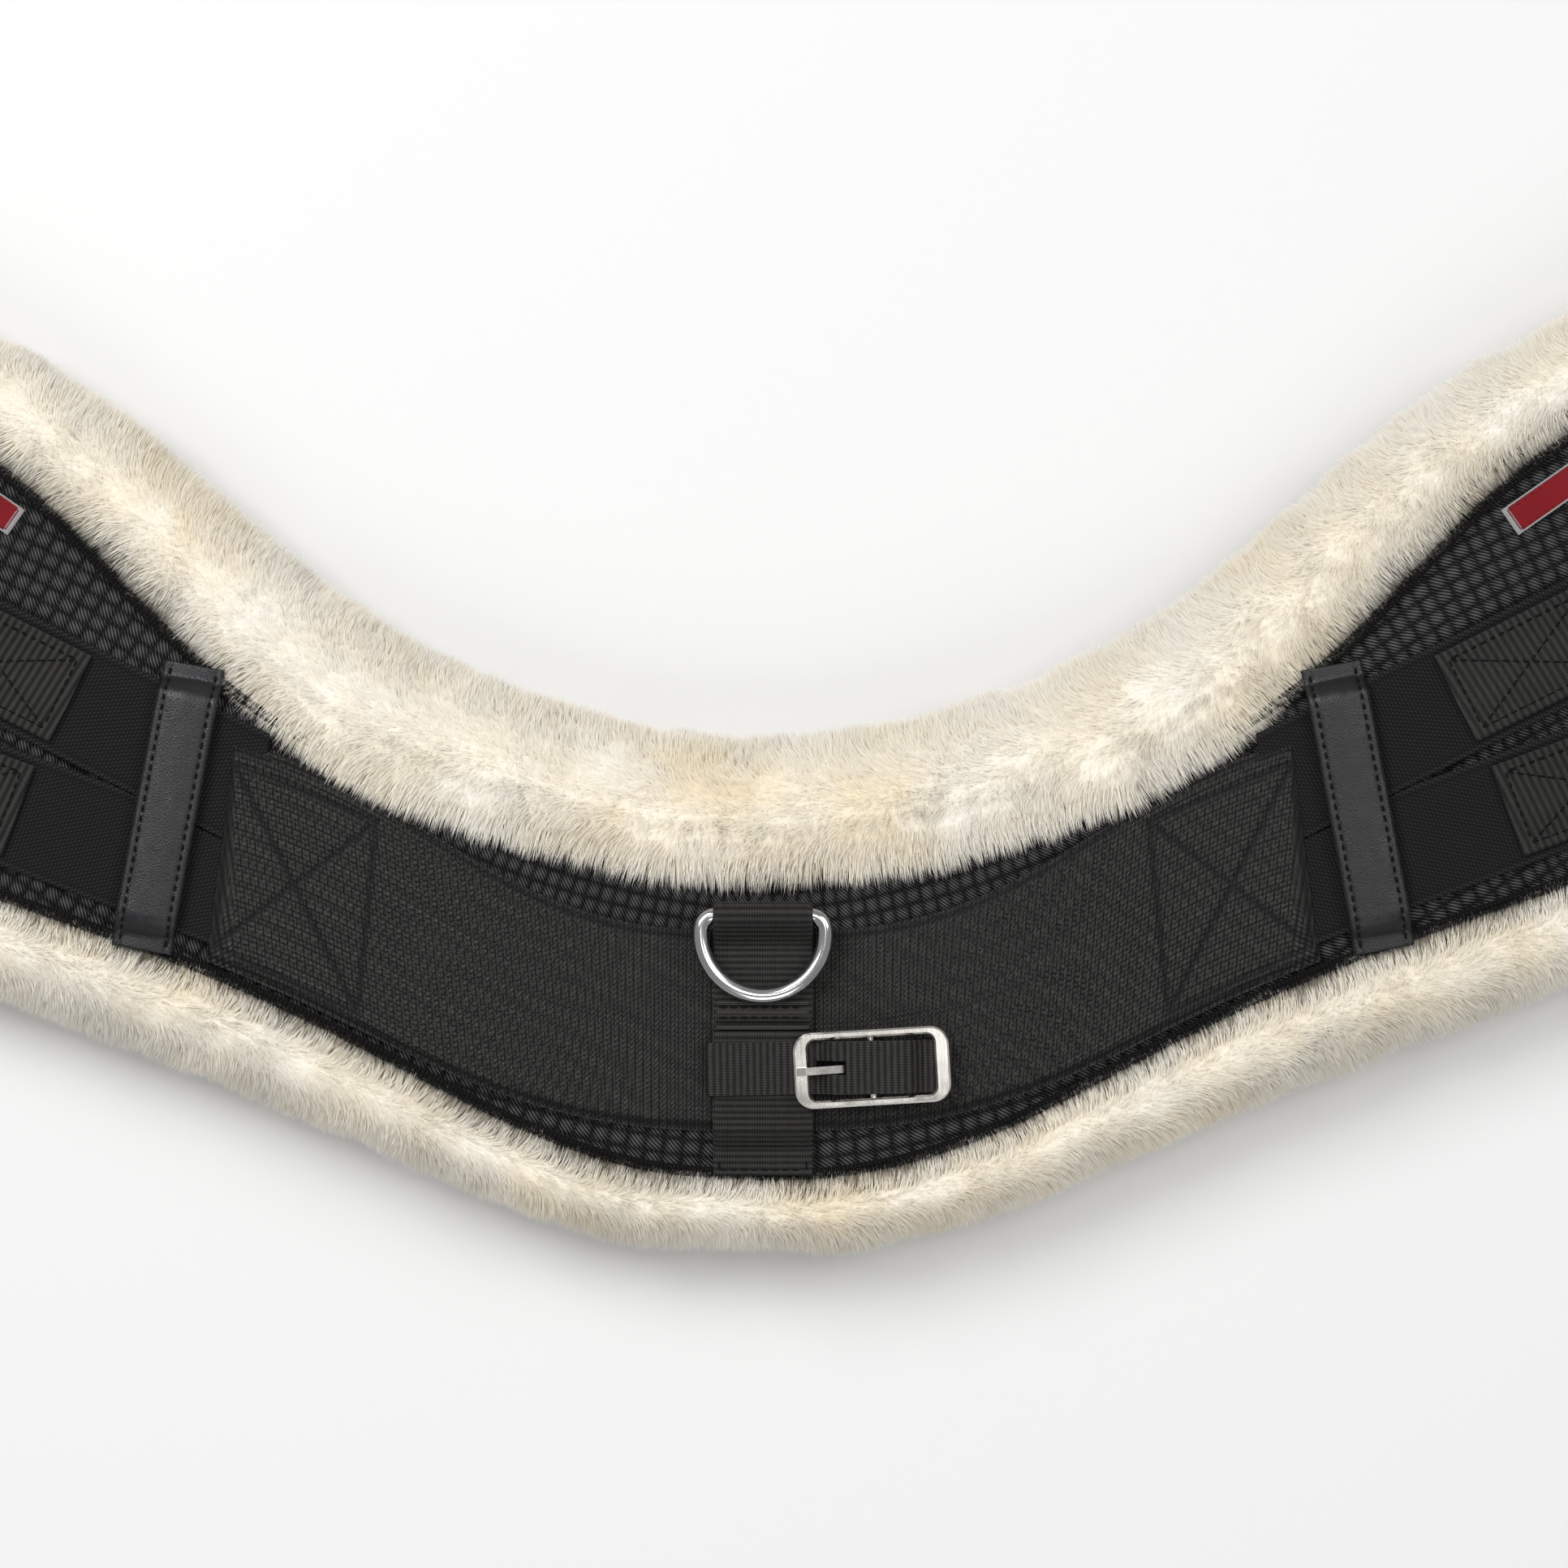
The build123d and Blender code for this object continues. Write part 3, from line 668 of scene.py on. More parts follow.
def metal_material(name, colour, smooth, worn, scratch):
    """Polished or plated metal with hairlines and faint smears."""
    material, tree, shader = new_material(name)
    coords = (add(tree, "TexCoord"), "Object")
    smear = noise(tree, coords, 120.0, 4.0, 0.6)
    lines = noise(tree, (add(tree, "Mapping", Vector=coords, Scale=(900.0, 90.0, 900.0)), 0), 1.0, 3.0, 0.6)
    tone = ramp(tree, (smear, 0), (0.3, tuple(c * 0.86 for c in colour)), (0.7, colour))
    feed(tree, shader, (tone, 0))
    rough = ramp(tree, (smear, 0), (0.3, (smooth,)), (0.75, (worn,)))
    feed(tree, shader, (rough, 0), "Roughness")
    set_inputs(shader, Metallic=1.0)
    set_bump(tree, shader, (lines, 0), scratch, 0.0002)
    return material


LEATHER = leather_material()
STEEL = metal_material("polished_steel", (0.70, 0.70, 0.71), 0.10, 0.22, 0.05)
NICKEL = metal_material("nickel_plate", (0.86, 0.83, 0.78), 0.12, 0.26, 0.08)


def dress(node, material):
    """Gives a CAD node that stays its finished material."""
    slots = frame["nodes"][node].data.materials
    if not len(slots):
        slots.append(material)
    for i in range(len(slots)):
        slots[i] = material


# ------------------------------------------------------------------ shell, velour and binding
CELL = 4.1 * MM
CELL_POINTS = 5
MIDLINE = np.array([
    (-385, 142), (-330, 132), (-262, 116), (-200, 89), (-150, 57), (-100, 28), (-50, 9), (0, 1.5),
    (50, 9), (100, 28), (150, 57), (200, 89), (262, 116), (330, 132), (385, 142),
]) * MM
BEAD = 0.75 * MM  # a binding cord's radius
BINDING_OUT = 2.2 * MM
BINDING_IN = 5.0 * MM
WEAVE_HALF = 18  # cells of the basket weave each side of the band's middle line


def inside(points, loop):
    """Whether points (n, 2) lie inside a closed loop."""
    found = np.zeros(len(points), bool)
    x, y = points.T
    for (ax, ay), (bx, by) in zip(loop, np.roll(loop, -1, axis=0), strict=True):
        if ay == by:
            continue
        crosses = ((ay > y) != (by > y)) & (x < (bx - ax) * (y - ay) / (by - ay) + ax)
        found ^= crosses
    return found


def edge_distance(points, loop):
    tree = KDTree(len(loop))
    for i, p in enumerate(loop):
        tree.insert((p[0], p[1], 0), i)
    tree.balance()
    return np.array([tree.find((p[0], p[1], 0))[2] for p in points])


def compact(points, faces, *others):
    """Drops the points that no face uses."""
    used, index = np.unique(np.concatenate([f.ravel() for f in faces]), return_inverse=True)
    sizes = np.cumsum([f.size for f in faces])[:-1]
    shaped = [part.reshape(f.shape) for part, f in zip(np.split(index, sizes), faces, strict=True)]
    return points[used], shaped, *[o[used] for o in others]


def curved_grid(step, count):
    """Points (along, across, 2) that follow the band's own curve, count steps each side of it."""
    middle = evenly(smooth_rows(MIDLINE, 600), step, closed=False)
    along = unit(np.gradient(middle, axis=0))
    across = np.stack([-along[:, 1], along[:, 0]], axis=1)
    v = np.arange(-count, count + 1) * step
    return middle[:, None] + across[:, None] * v[None, :, None]


def basket_shell():
    """The shell's basket weave: rounded bundles that pass over and under along the band's own curve."""
    flat = curved_grid(CELL / CELL_POINTS, WEAVE_HALF * CELL_POINTS)
    rows, columns = flat.shape[:2]
    row, column = np.meshgrid(np.arange(rows), np.arange(columns), indexing="ij")
    u, w = row / CELL_POINTS, column / CELL_POINTS
    fu, fw = u % 1, w % 1
    odd = (np.floor(u) + np.floor(w)) % 2 > 0
    over, run = np.where(odd, fu, fw), np.where(odd, fw, fu)
    crown = (1 - np.abs(2 * over - 1) ** 2.4) * (1 - 0.72 * np.abs(2 * run - 1) ** 3)
    points = flat.reshape(-1, 2)
    crown = crown.ravel() * (1 + 0.10 * wobble(points, 0.011, 51))
    quads = grid_faces(rows, columns)
    edge = backing - backing_out * (BINDING_IN - 1.0 * MM)
    near = np.abs(points[:, 1]) < 0.25
    keep = np.zeros(len(points), bool)
    keep[near] = inside(points[near], edge)
    quads = quads[keep[quads].all(axis=1)]
    points, (quads,), crown, u, w = compact(points, [quads], crown, u.ravel(), w.ravel())
    rim_at = edge_distance(points, edge)
    drop = (1 - smoothstep(rim_at / (7 * MM))) * 1.1 * MM
    z = FACE + 0.12 * MM - 0.72 * MM * (1 - crown) - drop
    uv = np.stack([u, w], axis=1)
    points = np.c_[points, z]
    return mesh_piece("basket_shell", points, [quads], "pad", "shell_cloth", BASKET, uv=uv, relief=crown)


def swept_loop(name, profile, slot, material, closed=False):
    """A profile of (inset, height) in metres carried round the backing's edge."""
    profile = np.array(profile)
    flat = backing[:, None] - backing_out[:, None] * profile[None, :, :1]
    points = np.concatenate([flat, np.repeat(profile[None, :, 1:], len(backing), axis=0)], axis=2)
    run = np.arange(len(backing)) * 2.0
    uv = np.stack(np.meshgrid(run, np.arange(len(profile)) * 0.5, indexing="ij"), axis=2)[..., ::-1]
    faces = grid_faces(len(backing), len(profile), wrap_rows=True, wrap_columns=closed)
    return mesh_piece(name, points.reshape(-1, 3), [faces], "pad", slot, material, uv=uv.reshape(-1, 2))


STITCH_STEP = 0.3  # mm along a line of sewing


def circle(centre, radius, count=10):
    turn = np.arange(count) * 2 * math.pi / count
    return np.stack([centre[0] + radius * np.cos(turn), centre[1] + radius * np.sin(turn)], axis=1)


def tubes_on(lines, radius, sides=6):
    """One set of points and faces for round tubes along lines, each (n, 3), with pointed ends."""
    points, faces, caps, start = [], [], [], 0
    for line in lines:
        along = unit(np.gradient(line, axis=0))
        up = np.array([0.0, 0.0, 1.0])
        side = unit(np.cross(along, up) + 1e-9)
        top = np.cross(side, along)
        turn = np.arange(sides) * 2 * math.pi / sides
        size = np.full(len(line), radius)
        size[[0, -1]] *= 0.35
        ring = side[:, None] * np.cos(turn)[None, :, None] + top[:, None] * np.sin(turn)[None, :, None]
        points.append((line[:, None] + ring * size[:, None, None]).reshape(-1, 3))
        faces.append(grid_faces(len(line), sides, wrap_columns=True) + start)
        end = start + (len(line) - 1) * sides
        caps.append(np.arange(start, start + sides)[::-1][None])
        caps.append(np.arange(end, end + sides)[None])
        start += len(line) * sides
    return np.vstack(points), [np.vstack(faces), np.vstack(caps)]


def stitches(
    name, lines, body, slot="strap_webbing", pitch=2.7, length=2.0, radius=0.26, sink=0.08, material=THREAD
):
    """Thread stitches along 3-D lines given in metres; pitch, length, radius and sink in millimetres."""
    made = []
    every, long = round(pitch / STITCH_STEP), round(length / STITCH_STEP)
    for line in lines:
        points = evenly(np.asarray(line, float), STITCH_STEP * MM, closed=False)
        for start in range(0, len(points) - long, every):
            part = points[start : start + long + 1].copy()
            bow = np.sin(np.linspace(0, math.pi, len(part)))
            pick = np.linspace(0, len(part) - 1, 5).round().astype(int)
            part[:, 2] += (bow * 0.30 - sink - 0.12) * MM
            made.append(part[pick])
    points, faces = tubes_on(made, radius * MM)
    return mesh_piece(name, points, faces, body, slot, material)


def velour_edge():
    """The fuzzy backing where it shows round the binding."""
    top = BACK_TOP
    profile = np.array([
        (-0.2 * MM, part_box("velour_backing")[0][2]), (-0.5 * MM, top + 0.3 * MM), (0.2 * MM, top + 2.6 * MM),
        (1.1 * MM, top + 5.2 * MM), (1.7 * MM, top + 8.2 * MM), (2.1 * MM, FACE - 0.6 * MM),
        (2.6 * MM, FACE - 0.2 * MM),
    ])
    piece = swept_loop("velour_edge", profile, "velour", VELOUR)
    rng = np.random.default_rng(91)
    count = 46000
    row = rng.choice(np.flatnonzero(curl < 0.02), count)
    level = rng.random(count)
    inset = np.interp(level, [0, 0.5, 1], [0.0, 1.3, 2.4]) * MM
    high = top + np.interp(level, [0, 0.5, 1], [1.5, 6.5, 10.2]) * MM
    slide = rng.random(count)[:, None]
    base = backing[row] * (1 - slide) + backing[(row + 1) % len(backing)] * slide
    out = np.c_[backing_out[row], np.zeros(count)]
    root = np.c_[base - backing_out[row] * inset[:, None], high]
    way = unit(out * 0.3 + np.array([0, 0, 0.8]) + rng.normal(size=(count, 3)) * 0.45)
    lengths = rng.uniform(0.8, 1.7, count) * MM
    widths = rng.uniform(0.16, 0.3, count) * MM
    facing = unit(out + np.array([0, 0, 1.0]))
    strands("velour_fuzz", root, way, way * 0.0, lengths, widths, facing, 93, "velour", VELOUR)
    return piece


def binding():
    """Two cords side by side on a flat tape, sewn through between them."""
    tape = [
        (BINDING_OUT + 0.1 * MM, FACE - 3 * MM), (BINDING_OUT, FACE + 0.1 * MM),
        (BINDING_OUT + 0.3 * MM, FACE + 0.35 * MM), (BINDING_IN - 0.3 * MM, FACE + 0.35 * MM),
        (BINDING_IN + 0.2 * MM, FACE - 1.6 * MM),
    ]
    piece = swept_loop("binding_tape", tape, "binding", CORD)
    for i, inset in enumerate((BINDING_OUT + BEAD * 0.9, BINDING_OUT + BEAD * 2.85)):
        ring = circle((inset, FACE + 0.25 * MM), BEAD)
        swept_loop(f"binding_cord_{i + 1}", ring, "binding", CORD, closed=True)
    return piece


SHELL = basket_shell()
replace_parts(SHELL, "outer_shell")
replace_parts(velour_edge(), "velour_backing")
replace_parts(binding(), "edge_binding")
dress("lambskin_hide", HIDE)
dress("foam_core", FOAM)


# ------------------------------------------------------------------ centre panel
PANEL_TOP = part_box("centre_panel")[1][2]
BRAID_WIDTH = 2.1 * MM
BRAID_STEP = 1.35 * MM
PANEL_ROWS = round(0.052 / (BRAID_STEP / 3.2))
EDGE_SEAM = 1.8 * MM  # from the panel's long edges to their seams
END_BOX = [(0.1385, 0.0685), (0.1435, 0.0205), (0.1060, -0.0005 + 0.0035), (0.1010, 0.0530)]


def height_across(loop, x):
    """The lowest and highest y of a closed loop at each x."""
    low, high = np.full(len(x), np.inf), np.full(len(x), -np.inf)
    for (ax, ay), (bx, by) in zip(loop, np.roll(loop, -1, axis=0), strict=True):
        if ax == bx:
            continue
        t = (x - ax) / (bx - ax)
        y = ay + (by - ay) * t
        hit = (t >= 0) & (t <= 1)
        low = np.where(hit, np.minimum(low, y), low)
        high = np.where(hit, np.maximum(high, y), high)
    return low, high


def near_line(p, a, b):
    a, b = np.array(a), np.array(b)
    t = np.clip(((p - a) @ (b - a)) / ((b - a) @ (b - a)), 0, 1)
    return np.linalg.norm(p - a - t[:, None] * (b - a), axis=1)
def box_and_cross(box):
    """The four sides and two diagonals of a box of sewing, from its corners."""
    return [(box[k], box[(k + 1) % 4]) for k in range(4)] + [(box[0], box[2]), (box[1], box[3])]
def panel():
    """Wide webbing woven in braided columns, with its ends sewn down in a box and a cross."""
    loop = rim("centre_panel")
    reach = loop[:, 0].max() - 0.05 * MM
    count = round(2 * reach / (BRAID_WIDTH / 5))
    x = np.linspace(-reach, reach, count)
    low, high = height_across(loop, x)
    rows = PANEL_ROWS
    share = np.linspace(0, 1, rows)
    y = low[:, None] + (high - low)[:, None] * share[None]
    lean = 0.10 * np.sign(x)[:, None] * smoothstep((np.abs(x)[:, None] - 0.02) / 0.05)
    middle = ((low + high) / 2)[:, None]
    a = (x[:, None] - (y - middle) * lean) / BRAID_WIDTH
    length = (y - middle) / BRAID_STEP
    half = (a * 2) % 1
    slope = np.where((a % 1) < 0.5, a * 2 % 1, 1 - a * 2 % 1)
    centre_share = smoothstep((0.115 - np.abs(x)[:, None]) / 0.06)
    chain = (length + slope * (0.9 * centre_share + 0.25)) % 1
    crown = (1 - np.abs(2 * chain - 1) ** 2.0) ** 0.8 * (1 - np.abs(2 * half - 1) ** 2.6 * 0.85)
    gap = 0.5 + 0.5 * np.cos(2 * math.pi * a)
    crown = crown * (0.55 + 0.45 * (1 - gap**6))
    points = np.stack([np.repeat(x[:, None], rows, axis=1), y], axis=2).reshape(-1, 2)
    crown = crown.ravel() * (0.86 + 0.14 * wobble(points, 0.006, 61))
    sewn = np.full(len(points), 9.0)
    for side in SIDES.values():
        for p, q in box_and_cross([(side * x, y) for x, y in END_BOX]):
            sewn = np.minimum(sewn, near_line(points, p, q))
    for edge in (low + EDGE_SEAM, high - EDGE_SEAM):
        sewn = np.minimum(sewn, np.abs(points[:, 1] - np.repeat(edge, rows)))
    press = np.exp(-((sewn / (0.8 * MM)) ** 2))
    # Lowering the crown here also darkens the tone along the sewing and between the columns: painted shade in
    # the pressed seams and gaps.
    crown = np.clip(crown * (1 - 0.45 * press), 0, 1)
    across_share = np.tile(share, count)
    side_gap = np.minimum(across_share, 1 - across_share) * np.repeat(high - low, rows)
    border = np.minimum(side_gap, reach - np.abs(points[:, 0]))
    fall = (1 - smoothstep(border / (2.2 * MM))) * 1.2 * MM
    z = PANEL_TOP - 0.05 * MM - (1 - crown) * 0.62 * MM - press * 0.35 * MM - fall
    top = np.c_[points, z]
    ring = np.concatenate([
        np.arange(count) * rows,
        (count - 1) * rows + np.arange(1, rows),
        np.arange(count - 1)[::-1] * rows + rows - 1,
        np.arange(1, rows - 1)[::-1],
    ])
    skirt = top[ring].copy()
    skirt[:, 2] = FACE + 0.05 * MM
    below = len(top) + np.arange(len(ring))
    wall = np.stack([ring, below, np.roll(below, -1), np.roll(ring, -1)], axis=1)
    faces = [grid_faces(count, rows), wall]
    # The skirt's relief of 0 gives the panel's sides the darkest tone: painted shade.
    relief = np.concatenate([crown, np.zeros(len(ring))])
    points = np.vstack([top, skirt])
    return mesh_piece("braided_panel", points, faces, "pad", "panel_webbing", BRAID, relief=relief)


PANEL = panel()
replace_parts(PANEL, "centre_panel")


# ------------------------------------------------------------------ straps
def filleted(corners, radii, spacing):
    """A line through corners (along, up), each turned by an arc of its radius, evenly sampled."""
    corners = np.array(corners, float)
    line = [corners[0]]
    for k in range(1, len(corners) - 1):
        before, after = unit(corners[k - 1] - corners[k]), unit(corners[k + 1] - corners[k])
        angle = math.acos(np.clip(before @ after, -1, 1))
        cut = radii[k - 1] / math.tan(angle / 2)
        start, end = corners[k] + before * cut, corners[k] + after * cut
        centre = corners[k] + unit(before + after) * radii[k - 1] / math.sin(angle / 2)
        a = math.atan2(*(start - centre)[::-1])
        sweep = (math.atan2(*(end - centre)[::-1]) - a + math.pi) % (2 * math.pi) - math.pi
        for t in np.linspace(0, 1, max(3, int(abs(sweep) * 6))):
            line.append(centre + radii[k - 1] * np.array([math.cos(a + sweep * t), math.sin(a + sweep * t)]))
    line.append(corners[-1])
    return evenly(np.array(line), spacing, closed=False)


def closed_band(rows, columns):
    """Faces of a flattened tube kept row by row, with its two ends closed."""
    faces = [grid_faces(rows, columns, wrap_columns=True)]
    k = np.arange(columns // 2 - 1)
    for end in (0, rows - 1):
        base = end * columns
        cap = np.stack([base + k, base + k + 1, base + columns - 2 - k, base + columns - 1 - k], axis=1)
        faces.append(cap if end else cap[:, ::-1])
    return faces


def band(path, low, high, thick, rib=(1.9, 0.16), across=12, run_from=0.0, lean=0.0, seed=3, press=None):
    """A closed strap between two sideways limits along a path of (along, up), in metres.

    rib is its ribs' pitch and height in millimetres, and press(run, lateral) how far its face is
    pulled in. Returns points as (along, sideways, up), faces, map and relief.
    """
    tangent = unit(np.gradient(path, axis=0))
    normal = np.stack([-tangent[:, 1], tangent[:, 0]], axis=1)
    run = runs(path) + run_from
    s = np.linspace(-1, 1, across)
    side = np.sign(s) * (1 - (1 - np.abs(s)) ** 1.6)
    middle, half = (low + high) / 2, (high - low) / 2
    lateral = middle + side * half
    lean_run = run[:, None] + lateral[None] * lean
    wave = 0.5 + 0.5 * np.cos(2 * math.pi * lean_run / (rib[0] * MM))
    wave = wave ** 0.7
    where = np.stack(np.broadcast_arrays(run[:, None], lateral[None]), axis=2).reshape(-1, 2)
    wave = np.clip(wave + 0.12 * wobble(where, 0.004, seed).reshape(wave.shape), 0, 1)
    rounding = np.sqrt(np.maximum(0, 1 - np.abs(side) ** 14))
    body = thick / 2 * np.maximum(rounding, 0.25)[None]
    pulled = np.zeros_like(wave) if press is None else press(run[:, None], lateral[None])
    sheets = []
    for face in (1, -1):
        lift = face * (body - (1 - wave) * rib[1] * MM - (pulled if face > 0 else 0))
        flat = path[:, None] + normal[:, None] * lift[..., None]
        sideways = np.broadcast_to(lateral[None], lift.shape)
        sheets.append(np.stack([flat[..., 0], sideways, flat[..., 1]], axis=2))
    order = np.concatenate([sheets[0], sheets[1][:, ::-1]], axis=1)
    relief = np.concatenate([wave, wave[:, ::-1]], axis=1).ravel()
    lat = np.concatenate([lateral, lateral[::-1]])
    uv = np.stack(np.broadcast_arrays(lat[None] / MM, run[:, None] / MM), axis=2).reshape(-1, 2)
    return order.reshape(-1, 3), closed_band(*order.shape[:2]), uv, relief


def joined(parts):
    points, faces, uvs, reliefs, start = [], [], [], [], 0
    for p, f, uv, r in parts:
        points.append(p)
        faces += [g + start for g in f]
        uvs.append(uv)
        reliefs.append(r)
        start += len(p)
    return np.vstack(points), faces, np.vstack(uvs), np.concatenate(reliefs)


def strap_parts(path, width, thick, slot, slot_half, **settings):
    """A strap along a path, split in two beside a slot; slot(path) says which points it takes."""
    taken = slot(path)
    run = runs(path)
    whole, halves = ((-width / 2, width / 2),), ((-width / 2, -slot_half), (slot_half, width / 2))
    parts, start = [], 0
    while start < len(path) - 1:
        stop = start + 1
        while stop + 1 < len(path) and taken[stop + 1] == taken[start + 1]:
            stop += 1
        for low, high in halves if taken[start + 1] else whole:
            parts.append(band(path[start : stop + 1], low, high, thick, run_from=run[start], **settings))
        start = stop
    return joined(parts)


def strap_axes(name):
    """A strap's root, direction and sideways direction, on the right, from its joints."""
    stretch, hinge = JOINTS[f"right_{name}_stretch"], JOINTS[f"right_{name}_frame_swing"]
    along = np.array(stretch["axis"][:2])
    bar = np.array(hinge["pos_m"])
    return bar, along, np.array([-along[1], along[0]])


def placed(points, name, side):
    """Points (from the bar along, sideways, up) to the row frame."""
    bar, along, across = strap_axes(name)
    flat = bar[:2] + points[:, :1] * along + points[:, 1:2] * across
    return np.c_[flat[:, 0] * side, flat[:, 1], points[:, 2]]


def flipped(faces, side):
    """Faces turned over where side is below 0."""
    return [f[:, ::-1] for f in faces] if side < 0 else faces


def strap_label(name, side):
    return f"{'right' if side > 0 else 'left'}_{name}"

STRAP_WIDTH = 25 * MM
STRAP_THICK = 1.6 * MM
BAR_Z = JOINTS["right_upper_frame_swing"]["pos_m"][2]
LOOP = 3.25 * MM  # from the bar's axis to the middle of the webbing
TOP_Z = BAR_Z - LOOP + STRAP_THICK + 0.1 * MM


def webbing_start(name):
    """Where the webbing's inner end is, from the bar along the strap."""
    bar, along, _ = strap_axes(name)
    mesh = frame["nodes"][f"right_{name}_buckle_strap"].data
    return min((np.array(v.co[:2]) - bar[:2]) @ along for v in mesh.vertices)


WEBBING_START = {name: webbing_start(name) for name in STRAPS}
ELASTIC_LAP = 44 * MM
ELASTIC_HALF = 15 * MM
SEAM_IN = 3 * MM  # from the lap's ends to its sewing
RAMP = math.radians(30)


def buckle_webbing(name, side):
    """The webbing from its lap on the elastic, round the buckle's bar and back."""
    label = strap_label(name, side)
    start = WEBBING_START[name]
    corner = BAR_Z + LOOP * math.tan((math.pi / 2 + RAMP) / 2) + 0.05 * MM
    ramp_start = LOOP - (corner - TOP_Z) / math.tan(RAMP)
    corners = [
        (start, TOP_Z), (ramp_start, TOP_Z), (LOOP, corner), (LOOP, BAR_Z - LOOP),
        (start + ELASTIC_LAP + 0.5 * MM, BAR_Z - LOOP),
    ]
    path = filleted(corners, [LOOP * 1.5, LOOP, LOOP], 0.42 * MM)
    points, faces, uv, relief = strap_parts(
        path, STRAP_WIDTH, STRAP_THICK, lambda p: p[:, 0] > -9.2 * MM, 2.9 * MM, rib=(2.0, 0.20), lean=0.10,
        seed=7,
    )
    piece = mesh_piece(
        f"{label}_webbing", placed(points, name, side), flipped(faces, side),
        f"{label}_strap", "strap_webbing", WEBBING, uv=uv, relief=relief,
    )
    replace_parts(piece, f"{label}_buckle_strap")
    near, far = start + SEAM_IN, start + ELASTIC_LAP - SEAM_IN
    edge, z = STRAP_WIDTH / 2 - 2.6 * MM, TOP_Z + STRAP_THICK / 2
    lines = box_and_cross([(near, -edge), (far, -edge), (far, edge), (near, edge)])
    made = [placed(np.array([(*p, z), (*q, z)]), name, side) for p, q in lines]
    stitches(f"{label}_sewing", made, f"{label}_strap")


def elastic_band(name, side):
    """The woven elastic, with a plain edge each side, lying between the pad and the webbing."""
    label = strap_label(name, side)
    low, high = (v[2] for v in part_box(f"right_{name}_elastic"))
    mesh = frame["nodes"][f"right_{name}_elastic"].data
    steps, columns = 150, 34
    lateral = np.linspace(-1, 1, columns) * (ELASTIC_HALF - 0.02 * MM)
    outer = WEBBING_START[name] + ELASTIC_LAP
    inner = np.array([min(edge_hits(mesh, name, v)) for v in lateral])
    run = inner[None] + (outer - inner)[None] * np.linspace(0, 1, steps)[:, None]
    rim_share = np.abs(lateral) / ELASTIC_HALF
    # Through relief, the groove and the raised plain edges also set the tone: painted shade in the groove and
    # a painted highlight on the edges.
    groove = 0.35 * np.exp(-(((rim_share - 0.89) / 0.02) ** 2))
    crown = np.repeat((np.where(rim_share > 0.90, 1.0, 0.75) - groove)[None], steps, axis=0)
    top = (low + high) / 2 + (high - low) / 2 - (1 - crown) * 0.35 * MM
    flat = np.stack([run, np.repeat(lateral[None], steps, axis=0)], axis=2)
    upper = np.concatenate([flat, top[..., None]], axis=2)
    under = np.concatenate([flat, np.full((steps, columns, 1), low)], axis=2)
    order = np.concatenate([upper, under[:, ::-1]], axis=1)
    uv = np.stack([order[..., 1] / MM, order[..., 0] / MM], axis=2).reshape(-1, 2)
    # The underside's relief of 0 gives it the darkest tone: painted shade.
    relief = np.concatenate([crown, np.zeros_like(crown)], axis=1).ravel()
    piece = mesh_piece(
        f"{label}_elastic_band", placed(order.reshape(-1, 3), name, side),
        flipped(closed_band(steps, 2 * columns), side), None, "elastic", ELASTIC, uv=uv, relief=relief,
    )
    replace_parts(piece, f"{label}_elastic")
    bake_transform(piece)


def edge_hits(mesh, name, v):
    """How far along a strap a line v to its side crosses the outline of its elastic."""
    bar, along, across = strap_axes(name)
    hits = []
    for edge in mesh.edges:
        a, b = (np.array(mesh.vertices[i].co[:2]) - bar[:2] for i in edge.vertices)
        av, bv = a @ across, b @ across
        if (av - v) * (bv - v) < 0:
            hits.append((a + (b - a) * ((v - av) / (bv - av))) @ along)
    return hits


for side_name, side in SIDES.items():
    for strap in STRAPS:
        buckle_webbing(strap, side)
        elastic_band(strap, side)
        for part in ("frame", "roller", "tongue"):
            dress(f"{side_name}_{strap}_buckle_{part}", STEEL)

for node, material in (("d_ring", STEEL), ("small_buckle_frame", NICKEL), ("small_buckle_tongue", NICKEL)):
    dress(node, material)


def set_down(points, origin, degrees, side=1):
    """Points (along, sideways, up) to the row frame, from an origin and a heading."""
    a = math.radians(degrees)
    x = origin[0] + points[:, 0] * math.cos(a) - points[:, 1] * math.sin(a)
    y = origin[1] + points[:, 0] * math.sin(a) + points[:, 1] * math.cos(a)
    return np.c_[x * side, y, points[:, 2]]


# ------------------------------------------------------------------ centre strip
D_BAR = JOINTS["d_ring_swing"]["pos_m"]
STRIP_THICK = 1.4 * MM
STRIP_LOW = PANEL_TOP + 0.05 * MM + STRIP_THICK / 2
STRIP_BRIDGE = PANEL_TOP + 1.5 * MM + STRIP_THICK / 2


